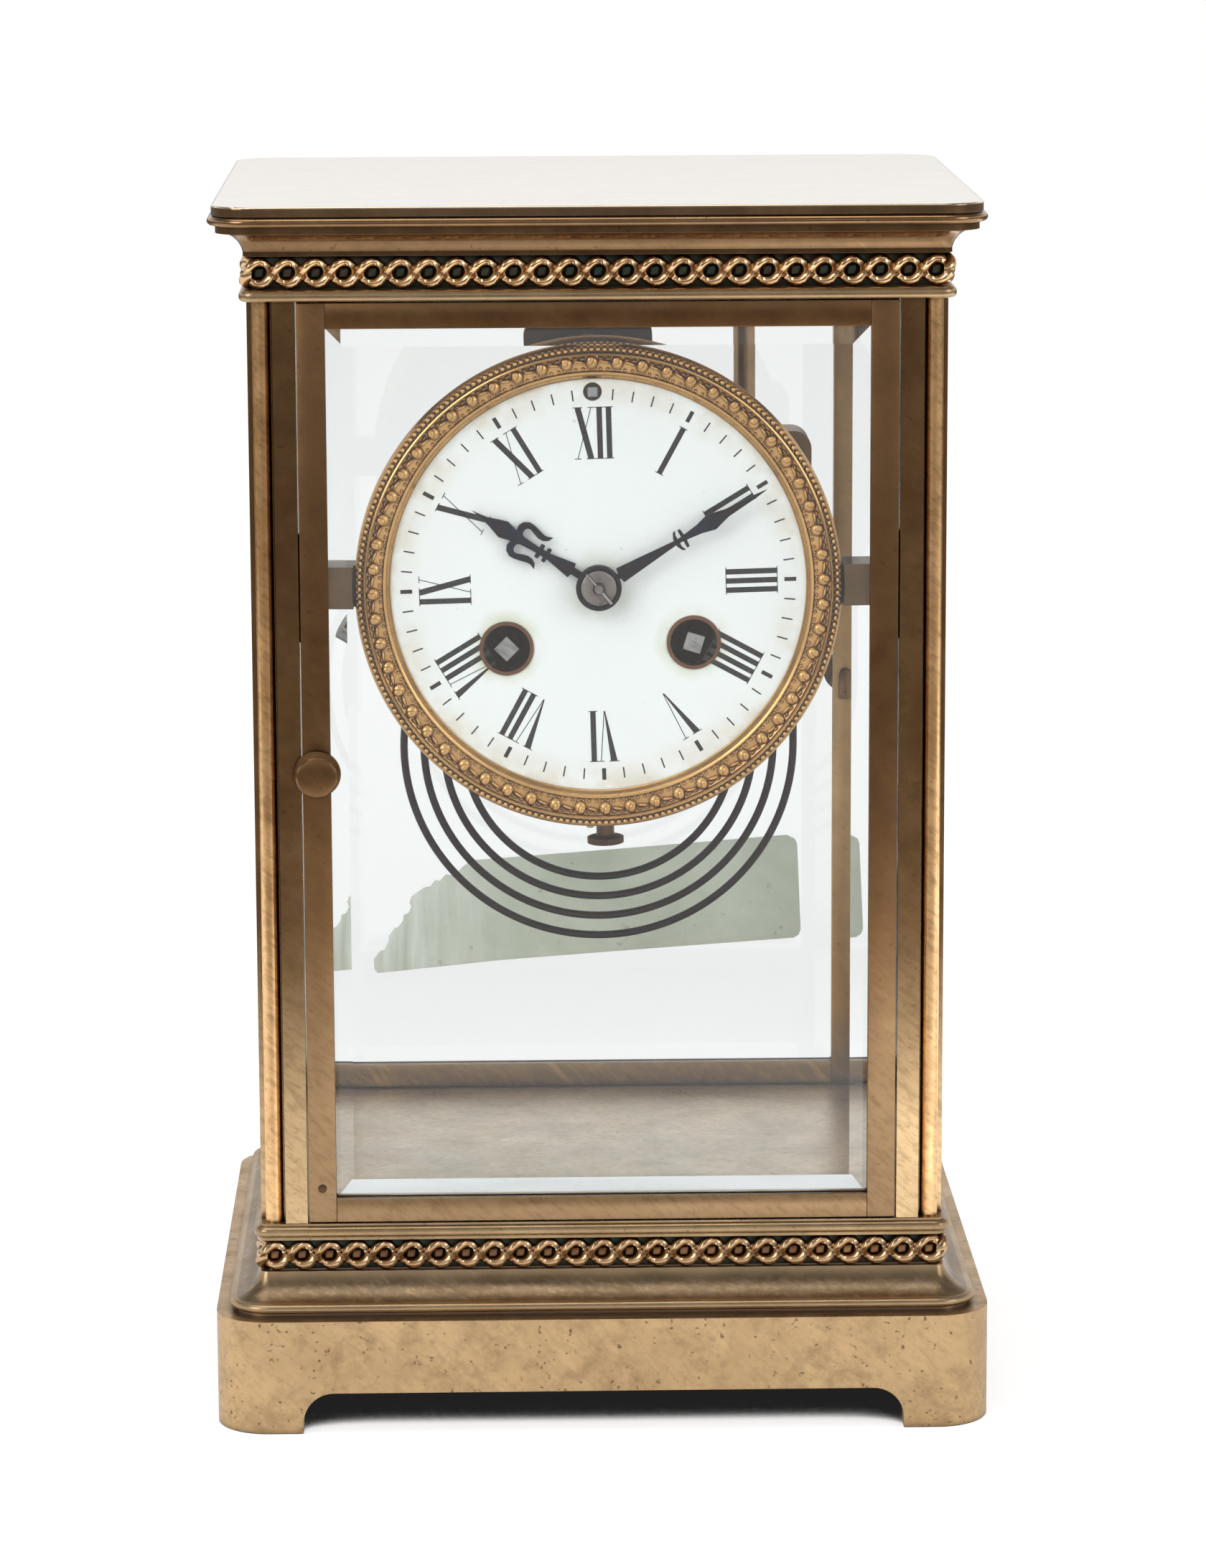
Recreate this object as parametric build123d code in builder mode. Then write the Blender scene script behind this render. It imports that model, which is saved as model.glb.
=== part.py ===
from build123d import *
import os
from math import cos, floor, pi, radians, sin

# A four-glass table clock: a brass case with two glazed doors and two glazed sides, and a
# round striking movement with an enamel dial held between straps.
# Millimetres, +Z up, the front faces -Y. The origin is the middle of the footprint, on the table.

# Case, driving sizes
PILLAR_HALF_X = 72.8  # outer face of the pillars, from the middle
PILLAR_HALF_Y = 61.6
CASE_CORNER = 1.6  # corner radius of the case at the pillars' faces
PLINTH_HEIGHT = 24.5
PLINTH_OVERHANG = 9.7  # how far each part stands out past the pillars' faces
PLINTH_WALL = 5.5
PLINTH_FLANGE = 3.0
FOOT_WIDTH = 18.6
ARCH_HEIGHT = 8.7
ARCH_RADIUS = 6.5
BASE_MOULDING_HEIGHT = 8.5
NOSE_OVERHANG = 6.8
NOSE_HEIGHT = 2.0
GROOVE_OVERHANG = 5.2
GROOVE_HEIGHT = 0.8
CASE_WALL_INNER = -6.8  # inner face of the moulding rings
CHAIN_BACK = -1.4  # face that the chain bands lie on
CHAIN_FACE = 0.1  # flat of a chain band, between its links
CHAIN_CREST = 1.2
LOWER_CHAIN_HEIGHT = 6.8
UPPER_CHAIN_HEIGHT = 7.0
CHAIN_PITCH = 5.85
CHAIN_LEAN = -36.0
LINK_LENGTH = 6.4
LINK_WIDTH = 2.3
LEDGE_OVERHANG = 1.4
FLOOR_THICKNESS = 3.6
UPPER_LEDGE_THICKNESS = 2.4
PILLAR_HEIGHT = 196.6
PILLAR_SIZE = 10.1
PILLAR_FLAT = 4.7  # width of the flat faces beside the corner bead
PILLAR_BEAD_RADIUS = 1.9
PILLAR_BEAD_INSET = 3.0
CORNICE_HEIGHT = 15.6
CAVETTO_HEIGHT = 3.9
CORNICE_STEP_OVERHANG = 6.0
CORNICE_STEP_HEIGHT = 1.6
CORNICE_BEAD_OVERHANG = 7.7
CORNICE_BEAD_HEIGHT = 1.8
TOP_GROOVE_OVERHANG = 5.8
TOP_PLATE_OVERHANG = 6.8
TOP_PLATE_THICKNESS = 2.0
TOP_PLATE_EDGE = 0.4
CASE_SCREW_RADIUS = 1.5
CASE_SCREW_HEAD = 2.6
CASE_SCREW_HEAD_HEIGHT = 1.2
CASE_SCREW_DEPTH = 9.0
CASE_SCREW_INSET = 7.85  # from the pillars' outer faces to the screw

# Glazing
GLASS_THICKNESS = 2.0
GLASS_BEVEL = 3.8
GLASS_BEVEL_DEPTH = 0.9
GLASS_SEAT = 2.0  # how deep a side glass sits in its groove
DOOR_GLASS_SEAT = 1.5  # the same in a door, clear of the knob's shaft
GLASS_PLAY = 0.1
SIDE_RAIL_HEIGHT = 5.5
SIDE_RAIL_THICKNESS = 5.0
SIDE_GLASS_INSET = 1.4  # from the rail's outer face to the glass

# Doors
DOOR_GAP = 0.3
DOOR_THICKNESS = 5.0
STILE_WIDTH = 5.9
TOP_RAIL_WIDTH = 5.4
BOTTOM_RAIL_WIDTH = 5.2
DOOR_GLASS_INSET = 1.0
HINGE_INSET = 2.4  # hinge axis to the door's front face and to its edge
HINGE_PIN_RADIUS = 1.0
HINGE_PIN_REACH = 5.0
HINGE_HOLE_DEPTH = 2.0
KNOB_HEIGHT = 141.0
KNOB_INSET = 3.1  # knob axis to the door's edge
KNOB_RADIUS = 4.4
KNOB_COLLAR_RADIUS = 4.95
KNOB_COLLAR_LENGTH = 1.0
KNOB_LENGTH = 5.6
KNOB_NECK_RADIUS = 2.6
KNOB_SHAFT_RADIUS = 1.0
LATCH_LENGTH = 5.6
LATCH_WIDTH = 3.0
LATCH_THICKNESS = 1.0
LATCH_GAP = 0.2
LATCH_SLOT_DROP = 5.6  # how far the tongue's slot reaches below and above the knob's axis
LATCH_SLOT_RISE = 2.2
RUNNING_FIT = 0.05
LABEL_THICKNESS = 0.15
LABEL_MARGINS = (5.5, 6.9)  # from the glass opening's sides, left and right
LABEL_RISE = 21.7  # from the opening's foot to the lowest corner

# Movement: everything is placed from the hands' centre, turned a little in its straps
DIAL_Z = 178.7
MOVEMENT_TILT = 1.5  # degrees, the top leans left
DIAL_FRONT = -49.6  # Y of the enamel's face
ENAMEL_RADIUS = 45.0
ENAMEL_THICKNESS = 1.6
DIAL_HOLE_RADIUS = 2.9
DIAL_PLATE_RADIUS = 46.8
DIAL_PLATE_THICKNESS = 1.2
RING_RADIUS = 48.0
RING_WALL = 2.0
RING_DEPTH = 16.0
RING_FLANGE = 5.5
RING_FLANGE_THICKNESS = 1.6
BEZEL_RADIUS = 51.3
BEZEL_SIGHT_RADIUS = 43.75
BEZEL_SKIRT = 1.2
BEZEL_BEAD_RADIUS = 0.8
FRONT_PLATE_FRONT = -40.0
PLATE_THICKNESS = 2.0
PLATE_SPACING = 28.0
BACK_PLATE_RADIUS = 42.0
PLATE_PILLAR_RADIUS = 2.4
PLATE_PILLAR_PIN = 1.2
PLATE_NUT_LENGTH = 1.8
PLATE_PILLARS = ((0.0, -37.5), (37.6, 3.5), (-37.6, 1.5), (22.0, 31.0), (-17.5, 32.0))
STRAP_HEIGHT = 8.8
STRAP_DEPTH = 11.0
STRAP_PLATE_HEIGHT = 23.0
STRAP_PLATE_THICKNESS = 2.0
STRAP_PLATE_LAP = 4.3  # how far the strap's plate reaches in past its pillar
STRAP_GLASS_CLEARANCE = 0.7
STRAP_SCREW_RADIUS = 1.1
STRAP_SCREW_HEAD = 2.1
STRAP_SCREW_HEAD_HEIGHT = 1.2
STRAP_SCREW_SPACING = 16.0
THUMB_SHAFT_RADIUS = 1.4
THUMB_SCREW_Y = -41.5
THUMB_RADIUS = 3.9

# Winding
WINDING_X = 19.75
WINDING_V = -12.8
WINDING_SQUARE = 3.75
WINDING_ARBOR_RADIUS = 2.65
WINDING_PIVOT_RADIUS = 1.5
SQUARE_TURNS = {"strike": 45.0, "going": -17.0}
EYELET_RADIUS = 5.75
EYELET_HOLE = 4.95
EYELET_PROUD = 0.3
RATCHET_RADIUS = 6.4
RATCHET_TEETH = 20
RATCHET_THICKNESS = 1.4
BARREL_RADIUS = 16.2
BARREL_WALL = 1.0
BARREL_FRONT = -30.5
BARREL_DEPTH = 15.1
GREAT_WHEEL_THICKNESS = 1.6
SPRING_STRIP = 0.45
SPRING_TURNS = 7
SPRING_INNER = 5.0

# Trains: teeth and modules, wheel first, pinion second
GREAT_TEETH = 80
GREAT_PINION = 12
GREAT_MODULE = 0.46
SECOND_TEETH = 66
CENTRE_PINION = 12
SECOND_MODULE = 0.35
CENTRE_TEETH = 72
THIRD_PINION = 10
CENTRE_MODULE = 0.32
THIRD_TEETH = 64
ESCAPE_PINION = 8
THIRD_MODULE = 0.30
ESCAPE_TEETH = 30
ESCAPE_RADIUS = 8.8
STRIKE_PINION = 10
STRIKE_MODULE = 0.35
PIN_WHEEL_TEETH = 60
FLY_PINION = 8
PIN_WHEEL_MODULE = 0.30
CANNON_TEETH = 12
MINUTE_WHEEL_TEETH = 36
CANNON_MODULE = 0.50
MINUTE_PINION = 10
HOUR_WHEEL_TEETH = 40
HOUR_MODULE = 0.48
WHEEL_THICKNESS = 1.2
PINION_LENGTH = 2.6
ARBOR_RADIUS = 0.8
PIVOT_RADIUS = 0.5

# Hands
MINUTE_HAND_ANGLE = 59.8  # clockwise from straight up
HOUR_HAND_ANGLE = 301.6
MINUTE_HAND_REACH = 41.0
HOUR_HAND_REACH = 31.2
HAND_THICKNESS = 0.7
HOUR_HAND_BACK = -50.7
MINUTE_HAND_BACK = -52.5
CANNON_BORE = 0.9
CANNON_RADIUS = 1.5
HOUR_PIPE_BORE = 1.6
HOUR_PIPE_RADIUS = 2.3
COLLET_RADIUS = 3.75
COLLET_THICKNESS = 1.2
CENTRE_TIP_RADIUS = 0.85
TAPER_PIN_LENGTH = 8.4
TAPER_PIN_TURN = -50.0

# Regulator, escapement and pendulum
REGULATOR_V = 41.0
REGULATOR_RADIUS = 1.4
REGULATOR_HOLE_RADIUS = 1.95
PALLET_V = 35.7
CRUTCH_LENGTH = 26.0
COCK_WIDTH = 28.0
COCK_FOOT = 4.0
COCK_THICKNESS = 2.5
COCK_DROP = 4.5  # how far the cock reaches below the pallet arbor
COCK_RISE = 8.6
PENDULUM_Y = 2.0
PENDULUM_BOB_DROP = 80.0  # from the bending point of the spring to the bob's middle
PENDULUM_BOB_RADIUS = 14.0
PENDULUM_BOB_THICKNESS = 8.0
PENDULUM_ROD_RADIUS = 0.8

# Gong and hammer
GONG_Y = 16.0
GONG_X = 1.3
GONG_Z = 132.4
GONG_RADIUS = 43.6
GONG_PITCH = 4.5
GONG_HALF_TURNS = 8
GONG_WIRE_RADIUS = 0.85
GONG_POST_X = 33.9
GONG_POST_RADIUS = 2.4
GONG_BLOCK_WIDTH = 20.0
GONG_BLOCK_DEPTH = 12.0
GONG_BLOCK_HEIGHT = 17.0
GONG_BLOCK_TOP = 203.6
GONG_BLOCK_CORNER = 4.0
HAMMER_ANGLE = 150.0  # where the hammer meets the outer coil, anticlockwise from the right
HAMMER_GAP = 0.8
HAMMER_HEAD_LENGTH = 10.0
HAMMER_HEAD_RADIUS = 3.2

# Levels worked out from the sizes above
MOULDING_BASE = PLINTH_HEIGHT
LOWER_CHAIN_BASE = MOULDING_BASE + BASE_MOULDING_HEIGHT
FLOOR_UNDERSIDE = LOWER_CHAIN_BASE + LOWER_CHAIN_HEIGHT
FLOOR_TOP = FLOOR_UNDERSIDE + FLOOR_THICKNESS
PILLAR_TOP = FLOOR_TOP + PILLAR_HEIGHT
CORNICE_BASE = PILLAR_TOP + UPPER_LEDGE_THICKNESS
CAVETTO_BASE = CORNICE_BASE + UPPER_CHAIN_HEIGHT
CORNICE_TOP = CORNICE_BASE + CORNICE_HEIGHT
DOOR_HALF = PILLAR_HALF_X - PILLAR_SIZE - DOOR_GAP
DOOR_LOW = FLOOR_TOP + DOOR_GAP
DOOR_HIGH = PILLAR_TOP - DOOR_GAP
STRAP_PLATE_INNER = PILLAR_HALF_X - PILLAR_SIZE - STRAP_PLATE_LAP
STRAP_PLATE_OUTER = PILLAR_HALF_X - SIDE_GLASS_INSET - GLASS_THICKNESS - GLASS_PLAY - STRAP_GLASS_CLEARANCE
STRAP_SCREW_X = (STRAP_PLATE_OUTER + PILLAR_HALF_X - PILLAR_SIZE) / 2
FRONT_PLATE_BACK = FRONT_PLATE_FRONT + PLATE_THICKNESS
BACK_PLATE_FRONT = FRONT_PLATE_BACK + PLATE_SPACING
BACK_PLATE_BACK = BACK_PLATE_FRONT + PLATE_THICKNESS
DIAL_BACK = DIAL_FRONT + ENAMEL_THICKNESS
DIAL_PLATE_BACK = DIAL_BACK + DIAL_PLATE_THICKNESS
RING_BACK = DIAL_FRONT + RING_DEPTH
BARREL_BACK = BARREL_FRONT + BARREL_DEPTH

os.makedirs("parts", exist_ok=True)


# Helpers

def finish(piece, name):
    """Label one finished piece and write it to its own file."""
    piece.part.label = name
    export_step(piece.part, "parts/" + name + ".step")


def movement(y, u=0.0, v=0.0, turn=0.0):
    """Plane facing the front at depth y, its origin u to the right of the hands' centre and v above it."""
    tilt = radians(MOVEMENT_TILT)
    x = u * cos(tilt) - v * sin(tilt)
    z = DIAL_Z + u * sin(tilt) + v * cos(tilt)
    return upright(y, x, z, MOVEMENT_TILT + turn)


def upright(y, x=0.0, z=0.0, turn=0.0):
    """Plane facing the front at depth y, turned anticlockwise by turn degrees."""
    lean = radians(turn)
    return Plane(origin=(x, y, z), x_dir=(cos(lean), 0, sin(lean)), z_dir=(0, -1, 0))


def case_shape(overhang, mode=Mode.ADD):
    """The case's rounded outline, standing out past the pillars' faces by overhang."""
    corner = max(CASE_CORNER + overhang, CASE_CORNER / 2)
    RectangleRounded(2 * (PILLAR_HALF_X + overhang), 2 * (PILLAR_HALF_Y + overhang), corner, mode=mode)


def case_frame(outer, inner, low, high):
    """Add an upright ring between two outlines of the case."""
    with BuildSketch(Plane.XY.offset(low)) as outline:
        case_shape(outer)
        case_shape(inner, Mode.SUBTRACT)
    extrude(outline.sketch, amount=high - low)


def case_path(overhang, level):
    """Closed path round the case, starting in the middle of its right side."""
    half_x = PILLAR_HALF_X + overhang
    half_y = PILLAR_HALF_Y + overhang
    corner = CASE_CORNER + overhang
    with BuildLine(Plane.XY.offset(level)) as path:
        side = Line((half_x, 0), (half_x, half_y - corner))
        for end in ((corner - half_x, half_y), (-half_x, corner - half_y),
                    (half_x - corner, -half_y), (half_x, 0)):
            bend = JernArc(start=side @ 1, tangent=side % 1, radius=corner, arc_size=90)
            side = Line(bend @ 1, end)
    return path.wires()[0]


def over(overhang):
    """X of a point on the case's right side that stands out past the pillars' faces."""
    return PILLAR_HALF_X + overhang


def tooth_points(teeth, tip, root, tip_share, root_share, turn):
    """Corners of a toothed rim with straight flanks; one tooth points along turn degrees."""
    points = []
    for index in range(teeth):
        middle = radians(turn) + 2 * pi * index / teeth
        for radius, share in ((root, -root_share), (tip, -tip_share), (tip, tip_share), (root, root_share)):
            angle = middle + share * pi / teeth
            points.append((radius * cos(angle), radius * sin(angle)))
    return points


def toothed_shape(teeth, module, turn):
    """Face of a wheel or pinion: a polygon of slender teeth about the pitch circle."""
    pitch = teeth * module / 2
    with BuildLine() as rim:
        Polyline(*tooth_points(teeth, pitch + 0.8 * module, pitch - 1.2 * module, 0.24, 0.52, turn), close=True)
    make_face(rim.edges())


def crossed_wheel(teeth, module, turn, hub, spokes):
    """Face of a wheel with its rim, hub and spokes."""
    inner = teeth * module / 2 - 3.4 * module
    toothed_shape(teeth, module, turn)
    Circle(inner, mode=Mode.SUBTRACT)
    Circle(hub)
    with PolarLocations(inner / 2, spokes, start_angle=turn + 20):
        Rectangle(inner + module, 1.3)


def rod(y_front, y_back, radius, u, v):
    """Add a round rod along Y to the piece in hand."""
    with BuildSketch(movement(y_back, u, v)) as end:
        Circle(radius)
    extrude(end.sketch, amount=y_back - y_front)


def bore(y_front, y_back, radius, u, v):
    """Cut a round hole along Y in the piece in hand."""
    with BuildSketch(movement(y_back, u, v)) as end:
        Circle(radius)
    extrude(end.sketch, amount=y_back - y_front, mode=Mode.SUBTRACT)


def arbor(u, v, radius=ARBOR_RADIUS):
    """Add an arbor between the plates, with a pivot in each."""
    end_gap = 0.2
    rod(FRONT_PLATE_BACK + end_gap, BACK_PLATE_FRONT - end_gap, radius, u, v)
    rod(FRONT_PLATE_FRONT + end_gap, BACK_PLATE_BACK - end_gap, PIVOT_RADIUS, u, v)


def wheel_on_arbor(u, v, wheel, pinion, wheel_y, pinion_y):
    """Add a crossed wheel and a pinion; each is (teeth, module, angle of one tooth)."""
    arbor(u, v)
    with BuildSketch(movement(wheel_y + WHEEL_THICKNESS, u, v)) as wheel_face:
        crossed_wheel(wheel[0], wheel[1], wheel[2], 2.4, 5)
    extrude(wheel_face.sketch, amount=WHEEL_THICKNESS)
    with BuildSketch(movement(pinion_y + PINION_LENGTH, u, v)) as pinion_face:
        toothed_shape(*pinion)
    extrude(pinion_face.sketch, amount=PINION_LENGTH)


def meet(first, second, distance_1, distance_2, side):
    """Point at two given distances from two points; side 1 is left of the way from first to second."""
    du = second[0] - first[0]
    dv = second[1] - first[1]
    span = (du * du + dv * dv) ** 0.5
    along = (distance_1 ** 2 - distance_2 ** 2 + span ** 2) / (2 * span)
    off = side * (distance_1 ** 2 - along ** 2) ** 0.5
    return (first[0] + (along * du - off * dv) / span, first[1] + (along * dv + off * du) / span)


def bearing(first, second):
    """Angle in degrees of the way from one point to another."""
    return Vector(1, 0).get_signed_angle(Vector(second[0] - first[0], second[1] - first[1]), Vector(0, 0, 1))


# Where the arbors stand, from the teeth and modules
CENTRE_AT = (0.0, 0.0)
GOING_AT = (WINDING_X, WINDING_V)
STRIKE_AT = (-WINDING_X, WINDING_V)
GREAT_DISTANCE = GREAT_MODULE * (GREAT_TEETH + GREAT_PINION) / 2
SECOND_DISTANCE = SECOND_MODULE * (SECOND_TEETH + CENTRE_PINION) / 2
SECOND_AT = meet(CENTRE_AT, GOING_AT, SECOND_DISTANCE, GREAT_DISTANCE, 1)
STRIKE_SECOND_AT = (-SECOND_AT[0], SECOND_AT[1])
THIRD_AT = (0.0, CENTRE_MODULE * (CENTRE_TEETH + THIRD_PINION) / 2)
ESCAPE_AT = (0.0, THIRD_AT[1] + THIRD_MODULE * (THIRD_TEETH + ESCAPE_PINION) / 2)
PIN_DISTANCE = STRIKE_MODULE * (SECOND_TEETH + STRIKE_PINION) / 2
PIN_BEARING = 150.0
PIN_AT = (STRIKE_SECOND_AT[0] + PIN_DISTANCE * cos(radians(PIN_BEARING)),
          STRIKE_SECOND_AT[1] + PIN_DISTANCE * sin(radians(PIN_BEARING)))
FLY_DISTANCE = PIN_WHEEL_MODULE * (PIN_WHEEL_TEETH + FLY_PINION) / 2
FLY_BEARING = 80.0
FLY_AT = (PIN_AT[0] + FLY_DISTANCE * cos(radians(FLY_BEARING)),
          PIN_AT[1] + FLY_DISTANCE * sin(radians(FLY_BEARING)))
MINUTE_WHEEL_AT = (0.0, -CANNON_MODULE * (CANNON_TEETH + MINUTE_WHEEL_TEETH) / 2)
HAMMER_AT = (-35.7, 9.0)
REGULATOR_AT = (0.0, REGULATOR_V)
PALLET_AT = (0.0, PALLET_V)
PALLET_X = movement(0, *PALLET_AT).origin.X
PALLET_Z = movement(0, *PALLET_AT).origin.Z

# Depths of the collet and its pin, and of the wheels between the plates, front face of each
collet_front = MINUTE_HAND_BACK - HAND_THICKNESS - COLLET_THICKNESS
TAPER_PIN_Y = collet_front - 0.45
SECOND_WHEEL_Y = FRONT_PLATE_BACK + 1.6
STRIKE_SECOND_Y = FRONT_PLATE_BACK + 4.6
GREAT_WHEEL_Y = BARREL_BACK - GREAT_WHEEL_THICKNESS
THIRD_WHEEL_Y = FRONT_PLATE_BACK + 12.0
PIN_WHEEL_Y = FRONT_PLATE_BACK + 13.8
ESCAPE_WHEEL_Y = FRONT_PLATE_BACK + 18.0
CENTRE_WHEEL_Y = BACK_PLATE_FRONT - 3.6


# Plinth with four bracket feet
with BuildPart() as plinth:
    case_frame(PLINTH_OVERHANG, PLINTH_OVERHANG - PLINTH_WALL, 0, PLINTH_HEIGHT - PLINTH_FLANGE)
    case_frame(PLINTH_OVERHANG, CASE_WALL_INNER, PLINTH_HEIGHT - PLINTH_FLANGE, PLINTH_HEIGHT)
    for face, half in ((Plane.XZ, over(PLINTH_OVERHANG)), (Plane.YZ, PILLAR_HALF_Y + PLINTH_OVERHANG)):
        with BuildSketch(face) as arch:
            with Locations((0, ARCH_HEIGHT / 2)):
                Rectangle(2 * (half - FOOT_WIDTH), ARCH_HEIGHT)
            fillet(arch.vertices().group_by(Axis.Y)[-1], radius=ARCH_RADIUS)
        extrude(amount=over(PLINTH_OVERHANG), both=True, mode=Mode.SUBTRACT)
finish(plinth, "plinth")

# Base moulding: groove, rounded nose, sloping hollow, and the wall behind the lower chain
nose_low = MOULDING_BASE + GROOVE_HEIGHT
nose_high = nose_low + NOSE_HEIGHT
with BuildPart() as base_moulding:
    with BuildSketch(Plane.XZ):
        with BuildLine():
            Polyline((over(CHAIN_BACK), nose_low), (over(NOSE_OVERHANG) - NOSE_HEIGHT / 2, nose_low))
            ThreePointArc((over(NOSE_OVERHANG) - NOSE_HEIGHT / 2, nose_low),
                          (over(NOSE_OVERHANG), nose_low + NOSE_HEIGHT / 2),
                          (over(NOSE_OVERHANG) - NOSE_HEIGHT / 2, nose_high))
            ThreePointArc((over(NOSE_OVERHANG) - NOSE_HEIGHT / 2, nose_high),
                          (over(2.2), nose_high + 2.2),
                          (over(0.2), LOWER_CHAIN_BASE))
            Polyline((over(0.2), LOWER_CHAIN_BASE), (over(CHAIN_BACK), LOWER_CHAIN_BASE),
                     (over(CHAIN_BACK), nose_low))
        make_face()
    sweep(path=case_path(NOSE_OVERHANG, nose_low))
    case_frame(GROOVE_OVERHANG, CASE_WALL_INNER, MOULDING_BASE, nose_low)
    case_frame(CHAIN_BACK, CASE_WALL_INNER, nose_low, FLOOR_UNDERSIDE)
finish(base_moulding, "base_moulding")


def chain_band(base, height):
    """A band of leaning links round the case, to be laid on the wall behind it."""
    with BuildPart() as band:
        case_frame(CHAIN_FACE, CHAIN_BACK, base, base + height)
        middle = base + height / 2
        for turn, out, run in ((0, PILLAR_HALF_Y, PILLAR_HALF_X), (90, PILLAR_HALF_X, PILLAR_HALF_Y)):
            links = floor((2 * run - 2 * CASE_CORNER) / CHAIN_PITCH)
            for side in (0, 180):
                heading = radians(turn + side)
                face = Plane(origin=(out * sin(heading), -out * cos(heading), middle),
                             x_dir=(cos(heading), sin(heading), 0), z_dir=(sin(heading), -cos(heading), 0))
                with BuildSketch(face):
                    with GridLocations(CHAIN_PITCH, 1, links, 1):
                        SlotOverall(LINK_LENGTH, LINK_WIDTH, rotation=CHAIN_LEAN)
                extrude(amount=CHAIN_CREST)
    return band


lower_chain = chain_band(LOWER_CHAIN_BASE, LOWER_CHAIN_HEIGHT)
finish(lower_chain, "lower_chain")
upper_chain = chain_band(CORNICE_BASE, UPPER_CHAIN_HEIGHT)
finish(upper_chain, "upper_chain")

# Hinge axes: the front door hangs at the right, the rear door at the left
HINGE_X = DOOR_HALF - HINGE_INSET
HINGE_Y = PILLAR_HALF_Y - HINGE_INSET
HINGE_PLACES = ((HINGE_X, -HINGE_Y), (-HINGE_X, HINGE_Y))
SCREW_X = PILLAR_HALF_X - CASE_SCREW_INSET
SCREW_Y = PILLAR_HALF_Y - CASE_SCREW_INSET

# Floor plate, with a rounded edge, hinge holes and screw holes
with BuildPart() as floor_plate:
    with BuildSketch(Plane.XY.offset(FLOOR_UNDERSIDE)):
        case_shape(0.2)
    extrude(amount=FLOOR_THICKNESS)
    bead_height = FLOOR_THICKNESS - 1.2
    with BuildSketch(Plane.XY.offset(FLOOR_UNDERSIDE + 0.7)):
        case_shape(LEDGE_OVERHANG)
    extrude(amount=bead_height)
    rim = [edge for edge in floor_plate.edges()
           if abs(abs(edge.center().X) - over(LEDGE_OVERHANG)) < 0.01
           or abs(abs(edge.center().Y) - (PILLAR_HALF_Y + LEDGE_OVERHANG)) < 0.01]
    fillet([edge for edge in rim if edge.bounding_box().size.Z < 0.01], radius=bead_height / 2 - 0.1)
    with BuildSketch(Plane.XY.offset(FLOOR_TOP)):
        with Locations(*HINGE_PLACES):
            Circle(HINGE_PIN_RADIUS + RUNNING_FIT)
    extrude(amount=-HINGE_HOLE_DEPTH, mode=Mode.SUBTRACT)
    with BuildSketch(Plane.XY.offset(FLOOR_TOP)):
        with GridLocations(2 * SCREW_X, 2 * SCREW_Y, 2, 2):
            Circle(CASE_SCREW_RADIUS + RUNNING_FIT)
    extrude(amount=-FLOOR_THICKNESS, mode=Mode.SUBTRACT)
    with BuildSketch(Plane.XY.offset(FLOOR_UNDERSIDE)):
        with GridLocations(2 * SCREW_X, 2 * SCREW_Y, 2, 2):
            Circle(CASE_SCREW_HEAD + RUNNING_FIT)
    extrude(amount=CASE_SCREW_HEAD_HEIGHT, mode=Mode.SUBTRACT)
finish(floor_plate, "floor_plate")


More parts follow.
